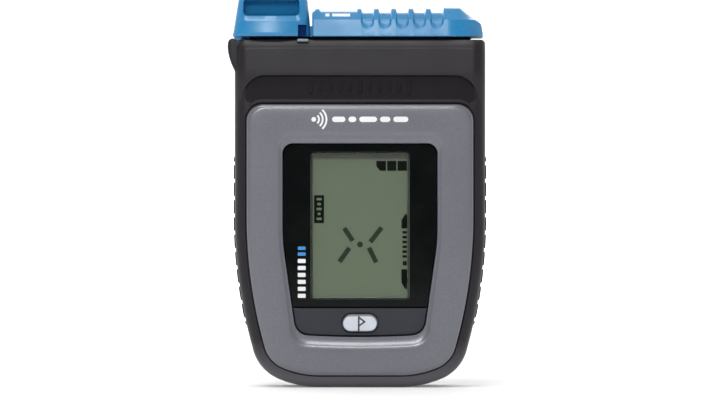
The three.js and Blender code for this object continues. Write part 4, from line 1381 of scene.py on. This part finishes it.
def slider_top(x):
    """The top's height: a flat with one ridge, the ribs, the block, then down to the right end."""
    if x < RIB_PLACES[0] - RIB_HALF:
        return FLAT_TOP + 0.75 * smooth_step((0.95 - abs(x + 12.5)) / 0.5)
    if x < BLOCK_LEFT:
        return RIB_TOP + (VALLEY_TOP - RIB_TOP) * valley(x)
    if x < BLOCK_RIGHT:
        return BLOCK_TOP
    if x < NOSE_X:
        t = (x - BLOCK_RIGHT) / (NOSE_X - BLOCK_RIGHT)
        return BLOCK_TOP + (NOSE_TOP - BLOCK_TOP) * t**0.9
    t = (x - NOSE_X) / (SLIDER_RIGHT - NOSE_X)
    return NOSE_TOP + (SLIDER_BASE + 1.2 - NOSE_TOP) * t**2


def plan_inset(x, start, radius):
    """How far a corner of this radius, starting at x = start, has drawn in."""
    reach = min(max(0.0, x - start), radius)
    return radius - math.sqrt(radius**2 - reach**2)


def slider_ring(x):
    """The slider's section at x, front over top to rear."""
    hollow = SCALLOP * valley(x)
    end = plan_inset(SLIDER_LEFT + END_ROUND - (x - SLIDER_LEFT), SLIDER_LEFT, END_ROUND)
    front = SLIDER_FRONT + plan_inset(x, 25.5, 12.0) + end
    rear = SLIDER_REAR - plan_inset(x, 29.0, 8.0) - end
    base = SLIDER_BASE + end
    top = slider_top(x) - end
    shoulder = min(SHOULDER, top - 0.3)
    low = min(scallop_low(x), shoulder - 0.75)
    foot = min(low + 1.1, shoulder - 0.1)
    corners = [
        (front, base),
        (front + FRONT_LEAN * (low - base), low),
        (front + FRONT_LEAN * (foot - base) + hollow, foot),
        (front + FRONT_LEAN * (shoulder - base) + hollow, shoulder),
        (front + SLOPE_BACK, top),
        (rear - 3.2, top),
        (rear - hollow, shoulder - 0.2),
        (rear - hollow * 0.9, foot),
        (rear, low),
        (rear, base),
    ]
    return at_x(round_corners(corners, RING_ROUNDS), x)


def slider_stations():
    """Places along X, close together where the section changes quickly."""
    places = [SLIDER_LEFT + END_ROUND * (1 - c) for _, c in quarter(5)[:-1]]
    x = SLIDER_LEFT + END_ROUND
    while x < SLIDER_RIGHT - 0.05:
        places.append(x)
        x += 0.14 if -1.2 < x < 25 or x > 34.5 else 0.35
    return places + [SLIDER_RIGHT]


def rail_slot():
    """The T-shaped channel the rail runs in, open at the slider's left."""
    clear = 0.35
    neck, head = RAIL_NECK + clear, RAIL_HEAD + clear
    span = [-AWAY, RAIL_REACH + 0.5]
    return (
        block(span, [RAIL_Y - neck, RAIL_Y + neck], [101, RAIL_SHOULDER]),
        block(span, [RAIL_Y - head, RAIL_Y + head], [RAIL_SHOULDER - clear, RAIL_TOP + clear]),
    )


def build_slider():
    """The ribbed slider with its tongue under the catch, and the bars printed on its slope."""
    made = solid("slider", loft([slider_ring(x) for x in slider_stations()]))
    tongue = block([-34.2, SLIDER_LEFT + 2], [-9, 7], [SLIDER_BASE, 106.5], 0.5)
    combine(made, "UNION", tongue)
    spans = ([-20, -6.4], [4.4, 20])
    pins = [bore("y", PIN_HOLE, span, PIVOT_X, PIVOT_Z, 20) for span in spans]
    magnet = bore("z", 2.4, [102, 106], 10, 8.4, 28)
    combine(made, "DIFFERENCE", *rail_slot(), *pins, magnet)
    finish(made, "mode_slider", "blue", BLUE, "mode_slider")
    marks = join(slider_mark(-10.2, 1.2), slider_mark(-8.2, 5.3))
    add("slider_marks", marks, "mode_slider", "button", WHITE_PRINT)


def slider_mark(x, length):
    """A thin printed bar lying on the slider's front slope."""
    foot = Vector((SLIDER_FRONT + 0.75, SHOULDER))
    rise = Vector((SLIDER_FRONT + SLOPE_BACK, FLAT_TOP)) - foot
    low, high = foot + rise * 0.34, foot + rise * 0.66
    out = Vector((-rise.y, rise.x)).normalized() * 0.06
    quad = [low + out, high + out, high - out * 2, low - out * 2]
    return loft([at_x(quad, x), at_x(quad, x + length)])


# ---- Lock catch --------------------------------------------------------------------------


def blend(table, z):
    """A value read between the (height, value) pairs of a short list."""
    for (z0, v0), (z1, v1) in zip(table, table[1:]):
        if z <= z1:
            t = min(1.0, max(0.0, (z - z0) / (z1 - z0)))
            return v0 + (v1 - v0) * t
    return table[-1][1]


CATCH_BASE, CATCH_TOP = SLIDER_BASE, 118
CATCH_BOW = 1.9
CATCH_ROUND = 114.5  # where the head starts to round over
CATCH_LEFT_SIDE = [
    (103.3, -37.6), (114.1, -35.9), (116, -35.3), (117.2, -34.2), (117.8, -32.6), (CATCH_TOP, -30),
]
CATCH_RIGHT_SIDE = [
    (103.3, -14.7), (108, -14.95), (114.1, -15.5), (116, -16.2), (117.2, -17.6), (117.8, -19.4),
    (CATCH_TOP, -22),
]
CATCH_FRONT = [
    (103.3, -12.2), (104.0, -12.5), (108.2, -12.1), (114.6, -11.4), (116.4, -10.8), (117.4, -9.6),
    (117.9, -8.2), (CATCH_TOP, -6.6),
]
CATCH_REAR = [
    (103.3, 12.0), (106.5, 12.0), (110, 10.6), (113.4, 8.2), (116.2, 5.2), (117.6, 2.4),
    (CATCH_TOP, -1),
]
RECESS = (-34.3, -17.9, 114.6)  # left, right, top
RECESS_RINGS = (  # depth behind the face, growth, sill height, share of the bow, lean of the ring
    (-6.0, 1.05, 107.1, 1.0, 0.0),
    (-0.5, 1.05, 107.1, 1.0, 0.0),
    (0.0, 0.7, 107.9, 1.0, 0.0),
    (0.9, 0.0, 109.3, 1.0, 0.0),
    (1.25, 0.0, 109.55, 0.9, 0.0),
    (3.0, 0.0, 109.65, 0.2, 0.35),
    (3.8, -0.3, 109.9, 0.0, 0.5),
    (4.0, -0.9, 110.6, 0.0, 0.5),
)


def catch_ring(z):
    """The thumb piece's plan at a height, its front face bowed."""
    left, right = blend(CATCH_LEFT_SIDE, z), blend(CATCH_RIGHT_SIDE, z)
    front, rear = blend(CATCH_FRONT, z), blend(CATCH_REAR, z)
    bow = CATCH_BOW * smooth_step((CATCH_TOP - z) / 6)
    radius = min(2.4, (right - left) * 0.3)
    outline = rounded_box(left, right, front, rear, radius, 8)
    middle, half = (left + right) / 2, (right - left) / 2
    lift = 0.28 if z < CATCH_BASE + 0.05 else 0.0
    ring = []
    for x, y in densified(outline, 9):
        u = (x - middle) / half
        nearness = smooth_step(((front + rear) / 2 - y) / ((rear - front) / 2))
        ring.append((x, y - bow * (1 - u * u) * nearness, z + lift * (1 - u * u)))
    return ring


def densified(outline, per_corner):
    """A rounded box with extra points on its four sides, the same number whatever its size."""
    points = []
    count = len(outline)
    for i, (x, y) in enumerate(outline):
        points.append((x, y))
        if i % per_corner == per_corner - 1:
            x1, y1 = outline[(i + 1) % count]
            points += [(x + (x1 - x) * k / 12, y + (y1 - y) * k / 12) for k in range(1, 12)]
    return points


def catch_heights():
    """Heights up the catch, closer together where it rounds over."""
    heights = [CATCH_BASE, CATCH_BASE + 0.12, CATCH_BASE + 0.3]
    z = CATCH_BASE + 0.8
    while z < CATCH_ROUND:
        heights.append(z)
        z += 0.5
    return heights + [CATCH_ROUND + (CATCH_TOP - CATCH_ROUND) * s for s, _ in quarter(16)[1:]]


def catch_recess():
    """The thumb hollow: its mouth and sloping sill follow the bowed face, its back wall leans."""
    middle, half = (CATCH_LOW.x + CATCH_HIGH.x) / 2, (CATCH_HIGH.x - CATCH_LOW.x) / 2
    left, right, top = RECESS
    rings = []
    for depth, grow, sill, share, lean in RECESS_RINGS:
        outline = rounded_box(left - grow, right + grow, sill, top + grow, 1.3 + 0.3 * grow, 6)
        ring = []
        for x, z in densified(outline, 7):
            bow = CATCH_BOW * (1 - ((x - middle) / half) ** 2) * share
            ring.append((x, -12.0 + depth - bow + lean * (z - 110), z))
        rings.append(ring)
    return loft(rings)


def build_catch():
    """The thumb piece, cut for the rail, pin and spring, and a dark blue sheet in the notch at its foot
    that paints the shade inside it.
    """
    made = solid("catch", loft([catch_ring(z) for z in catch_heights()]))
    tooth = block([-36.9, -34.9], [-11.5, -9.8], [101.8, 104.5], 0.3)
    skirt = block([-37.2, -33.0], [8.0, 11.4], [CASE_TOP + GAP, 104.5], 0.5)
    combine(made, "UNION", tooth, skirt)
    channel = block([-50, 0], [-9.5, 7.5], [100, 107])
    notch = block([PIVOT_X - 1.25, PIVOT_X + 1.25], [-20, -11.2], [100, 106.8], 0.3)
    pins = bore("y", PIN_HOLE, [-10.9, 9.9], PIVOT_X, PIVOT_Z, 20)
    spring_room = bore("z", 1.9, [106, 109.6], *CATCH_SPRING, 24)
    combine(made, "DIFFERENCE", catch_recess(), channel, notch, pins, spring_room)
    finish(made, "lock_catch", "blue", BLUE, "lock_catch")
    # A dark blue sheet in the notch: painted shade where the notch's inside lies in shadow.
    notch_shade_x = [PIVOT_X - 1.2, PIVOT_X + 1.2]
    notch_shade = block(notch_shade_x, [-11.5, -11.15], [CATCH_BASE + 0.15, 106.7], 0.1)
    add("catch_notch_shade", notch_shade, "lock_catch", "blue", NOTCH_SHADE_BLUE)


# ---- Battery door ------------------------------------------------------------------------


def build_door():
    """The battery door, hinged at its foot, with the lock's well near its top."""
    panel = solid("door", slab(door_outline(), DOOR_FRONT, BACK, 0.25, 0.3))
    strap = centred(KNUCKLE, [DOOR_FRONT, BACK], [BARREL_Z, BARREL_Z + 6])
    barrel = rod("x", BARREL_RADIUS, [-KNUCKLE, KNUCKLE], BARREL_Y, BARREL_Z, 48, 0.2)
    combine(panel, "UNION", strap, barrel)
    well, mouth = LOCK_RADIUS + 0.4, LOCK_RADIUS + 0.9
    profile = [(well, BACK - 1.1), (well, BACK - 0.3), (mouth, BACK + 0.2), (mouth, BACK + 2)]
    seat = turned("y", profile, 0, LOCK_Z, 56)
    hole = bore("y", LOCK_HOLE, [10, BACK + 1], 0, LOCK_Z, 28)
    pin = bore("x", 1.0, [-30, 30], BARREL_Y, BARREL_Z, 20)
    combine(panel, "DIFFERENCE", seat, hole, pin, *door_grooves())
    combine(panel, "UNION", *door_ribs())
    finish(panel, "battery_door", "casing", CASING, "battery_door")


def door_grooves():
    """Shallow finger grooves across the lower half of the door, longest in the middle."""
    shapes = []
    section = ((0.55, -0.55), (0.15, -0.35), (0.0, 0.0), (-0.3, 0.6))  # inset, out from the back
    for i in range(6):
        outline = stadium(13.5 - 0.5 * abs(i - 2.5), 0.8, 0, 17.5 + 3.2 * i, 8)
        shapes.append(loft([at_y(offset(outline, inset), BACK + out) for inset, out in section]))
    return shapes


def door_ribs():
    """Stiffening ribs inside the door, one behind each cell, seen when it is open."""
    span = [DOOR_FRONT - 0.35, DOOR_FRONT + 0.3]
    return [block([x - 0.6, x + 0.6], span, [18, 54], 0.25) for x in (-CELL_PITCH, 0.0, CELL_PITCH)]


def build_lock():
    """The door's slotted lock: its disc, its shaft and the tongue at the shaft's inner end."""
    face = [(LOCK_RADIUS - 0.6, BACK - 0.8), (LOCK_RADIUS, BACK - 0.75), (LOCK_RADIUS, BACK - 0.25)]
    face += [(LOCK_RADIUS - 0.25, BACK - 0.02), (0.4, BACK)]
    made = solid("lock_disc", turned("y", face, 0, LOCK_Z, 72))
    shaft = rod("y", 1.6, [8.8, BACK - 0.5], 0, LOCK_Z)
    tongue = centred(1.2, [8.6, 10], [LOCK_Z - 3.3, LOCK_Z + 3.3], 0.3)
    combine(made, "UNION", shaft, tongue)
    slot = slab(stadium(3.5, 0.7, 0, LOCK_Z, 8), BACK - 0.55, BACK + 1)
    combine(made, "DIFFERENCE", slot)
    finish(made, "door_lock", "steel", STEEL, "door_lock")


# ---- Inside the battery bay, and small pieces ----------------------------------------------


def cell_profile(length):
    """A cell's (radius, height) profile: a flat foot, a rolled can, a shoulder and a button."""
    foot = [(0.3, 0.0), (4.0, 0.0), (4.3, 0.25), (4.75, 0.25), (CELL_RADIUS, 0.7)]
    head = [
        (CELL_RADIUS, 1.9), (5.0, 1.45), (4.4, 1.2), (3.9, 1.0),
        (2.0, 1.0), (1.9, 0.85), (1.9, 0.15), (1.7, 0.0), (0.3, 0.0),
    ]
    return foot + [(radius, length - down) for radius, down in head]


def build_cells():
    """The three cells, the middle one upside down."""
    for i in (1, 2, 3):
        low, high = extent(f"battery_{i}")
        plus_up = i != 2
        profile = cell_profile(high.z - low.z)
        profile = [(r, low.z + d if plus_up else high.z - d) for r, d in profile]
        shape = turned("z", profile, (low.x + high.x) / 2, (low.y + high.y) / 2, 48)
        add(f"cell_{i}", shape, "housing", "cell", CELL, f"battery_{i}")


def build_springs():
    """The cells' tapering contact springs and the catch's straight one."""
    for i in (1, 2, 3):
        low, high = extent(f"contact_spring_{i}")
        radii = (1.8, 3.2) if i == 2 else (3.2, 1.8)
        shape = coil((i - 2) * CELL_PITCH, CELL_Y, low.z, high.z, *radii, 0.28, 3.5)
        add(f"cell_spring_{i}", shape, "housing", "steel", STEEL, f"contact_spring_{i}")
    low, high = extent("catch_spring")
    shape = coil(*CATCH_SPRING, low.z, high.z, 1.3, 1.3, 0.2, 4)
    add("catch_coil", shape, "mode_slider", "steel", STEEL, "catch_spring")


def build_small_pieces():
    """The leash's pin, the status lens, the door's seal and the slider's rail."""
    x, y = (BAR_LOW.x + BAR_HIGH.x) / 2, (BAR_LOW.y + BAR_HIGH.y) / 2
    pin = rod("z", (BAR_HIGH.x - BAR_LOW.x) / 2, [BAR_LOW.z, LEASH_CEILING - 0.3], x, y, 40)
    add("leash_pin", pin, "housing", "steel", STEEL, "leash_bar")
    low, high = LENS_HIGH.z - 1.2, LENS_HIGH.z - 0.4
    outline = rounded_box(LENS_LOW.x, LENS_HIGH.x - 1.0, low, high, 0.35, 6)
    lens = slab(outline, LENS_LOW.y, LENS_HIGH.y, 0.3)
    add("lens", lens, "housing", "lens", LENS, "status_lens")
    add("door_gasket", seal_ring(0.0, 11.7, 12.55), "housing", "rubber", RUBBER, "door_seal")
    section = round_corners(rail_corners(), [0.1, 0.1, 0.2, 0.25, 0.3, 0.3, 0.25, 0.2])
    rail = loft([at_x(section, x) for x in (-RAIL_REACH, RAIL_REACH)])
    add("rail", rail, "housing", "casing", CHIP, "slide_rail")


def rail_corners():
    """The rail's T section, from its foot's front corner."""
    half = [(RAIL_NECK, RAIL_FOOT), (RAIL_NECK, RAIL_SHOULDER)]
    half += [(RAIL_HEAD, RAIL_SHOULDER), (RAIL_HEAD, RAIL_TOP)]
    front = [(RAIL_Y - reach, z) for reach, z in half]
    rear = [(RAIL_Y + reach, z) for reach, z in half]
    return front[:1] + rear + front[:0:-1]


HIDDEN_LOOKS = (
    ("housing_seal contact_strip_bottom contact_strip_top", RUBBER),
    ("button_dome slider_magnet detent_ball detent_spring door_hinge_pin", STEEL),
    ("contact_plate_bottom contact_plate_top radio_shield clock_crystal", STEEL),
    ("catch_pin_front catch_pin_rear display_holder processor speaker", CHIP),
    ("hall_sensor_off hall_sensor_send hall_sensor_search", CHIP),
    ("backlight", LENS),
    ("main_board", BOARD),
    ("antenna_across_core antenna_upright_core antenna_depth_core", FERRITE),
    ("antenna_across_coil antenna_upright_coil antenna_depth_coil", WINDING),
)


def dress_hidden_nodes():
    """CAD pieces whose shape is right keep it and get a finish."""
    for names, material in HIDDEN_LOOKS:
        for name in names.split():
            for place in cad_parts[name].material_slots:
                place.material = material


# ---- Stage -------------------------------------------------------------------------------


def floor_paint():
    """Matt white, glowing a little where the floor turns up into the backdrop."""
    shader = Shader("floor_white", Base_Color=(0.78, 0.78, 0.785, 1.0), Roughness=0.9)
    shader.surface.inputs["Emission Color"].default_value = (1.0, 1.0, 1.0, 1.0)
    glow = shader.remap(shader.along("Y"), 0.3, 1.5, 0.14, 0.6)
    shader.link(glow, shader.surface.inputs["Emission Strength"])
    return shader.material


def build_floor():
    """A wide pale floor that curves up behind the object."""
    half_width, near, bend, radius, top = 3.0, -1.9, 1.3, 0.9, 2.2
    line = [(near, 0.0), (bend, 0.0)]
    line += [(bend + radius * s, radius * (1 - c)) for s, c in quarter(20)]
    line.append((bend + radius, top))
    mesh = bpy.data.meshes.new("floor")
    verts = [(x, y, z) for y, z in line for x in (-half_width, half_width)]
    faces = [(2 * i, 2 * i + 1, 2 * i + 3, 2 * i + 2) for i in range(len(line) - 1)]
    mesh.from_pydata(verts, [], faces)
    mesh.shade_smooth()
    floor = bpy.data.objects.new("floor", mesh)
    bpy.context.scene.collection.objects.link(floor)
    mesh.materials.append(floor_paint())


def area_light(name, place, size, power):
    """A white rectangular light turned towards the object's middle."""
    light = bpy.data.lights.new(name, "AREA")
    light.shape = "RECTANGLE"
    light.size, light.size_y = size
    light.energy = power
    made = bpy.data.objects.new(name, light)
    made.location = place
    towards = Vector((0.0, 0.0, 0.06)) - Vector(place)
    made.rotation_euler = towards.to_track_quat("-Z", "Y").to_euler()
    made.visible_camera = False
    bpy.context.scene.collection.objects.link(made)


def build_lights():
    """A box above, one behind and one in front, in a surround brightest above and behind."""
    area_light("top_box", (-0.25, -0.72, 1.5), (0.7, 0.5), 11.0)
    area_light("back_box", (-0.3, 1.35, 0.75), (1.6, 1.2), 11.0)
    area_light("front_box", (-0.12, -1.12, 0.47), (0.36, 0.22), 4.0)
    world = bpy.data.worlds.new("studio")
    world.use_nodes = True
    nodes = Nodes(world.node_tree)
    backdrop = nodes.tree.nodes["Background"]
    backdrop.inputs["Color"].default_value = (1.0, 1.0, 1.0, 1.0)
    direction = nodes.node("ShaderNodeTexCoord")
    split = nodes.node("ShaderNodeSeparateXYZ")
    nodes.link(direction.outputs["Generated"], split.inputs[0])
    rise = nodes.node("ShaderNodeMath", operation="MULTIPLY_ADD")  # half the height, plus Y
    rise.inputs[1].default_value = 0.5
    nodes.link(split.outputs["Z"], rise.inputs[0])
    nodes.link(split.outputs["Y"], rise.inputs[2])
    strength = nodes.remap(rise.outputs[0], -1.0, 0.35, 0.12, 0.8)
    nodes.link(strength, backdrop.inputs["Strength"])
    bpy.context.scene.world = world
    bpy.context.scene.view_settings.view_transform = "Standard"


def build_camera():
    """A long lens, level, square on to the front, its top edge just below the catch's top."""
    distance = 1.5
    face_depth = 0.011
    field_width = 0.2121
    aim_height = 0.0549
    sensor = 36.0  # mm
    data = bpy.data.cameras.new("camera")
    data.sensor_width = sensor
    data.lens = sensor * (distance - face_depth) / field_width
    data.clip_end = 20.0
    camera = bpy.data.objects.new("camera", data)
    camera.location = (CENTRE / MM, -distance, aim_height)
    camera.rotation_euler = (math.pi / 2, 0.0, 0.0)
    bpy.context.scene.collection.objects.link(camera)
    bpy.context.scene.camera = camera


build_camera()
build_floor()
build_lights()
build_front()
build_brow()
build_rear()
build_grips()
build_screws()
face = build_face_frame()
pane = build_pane()
build_display()
build_display_rim()
build_keypad()
build_button()
build_prints(face, pane)
build_slider()
build_catch()
build_door()
build_lock()
build_cells()
build_springs()
build_small_pieces()
dress_hidden_nodes()
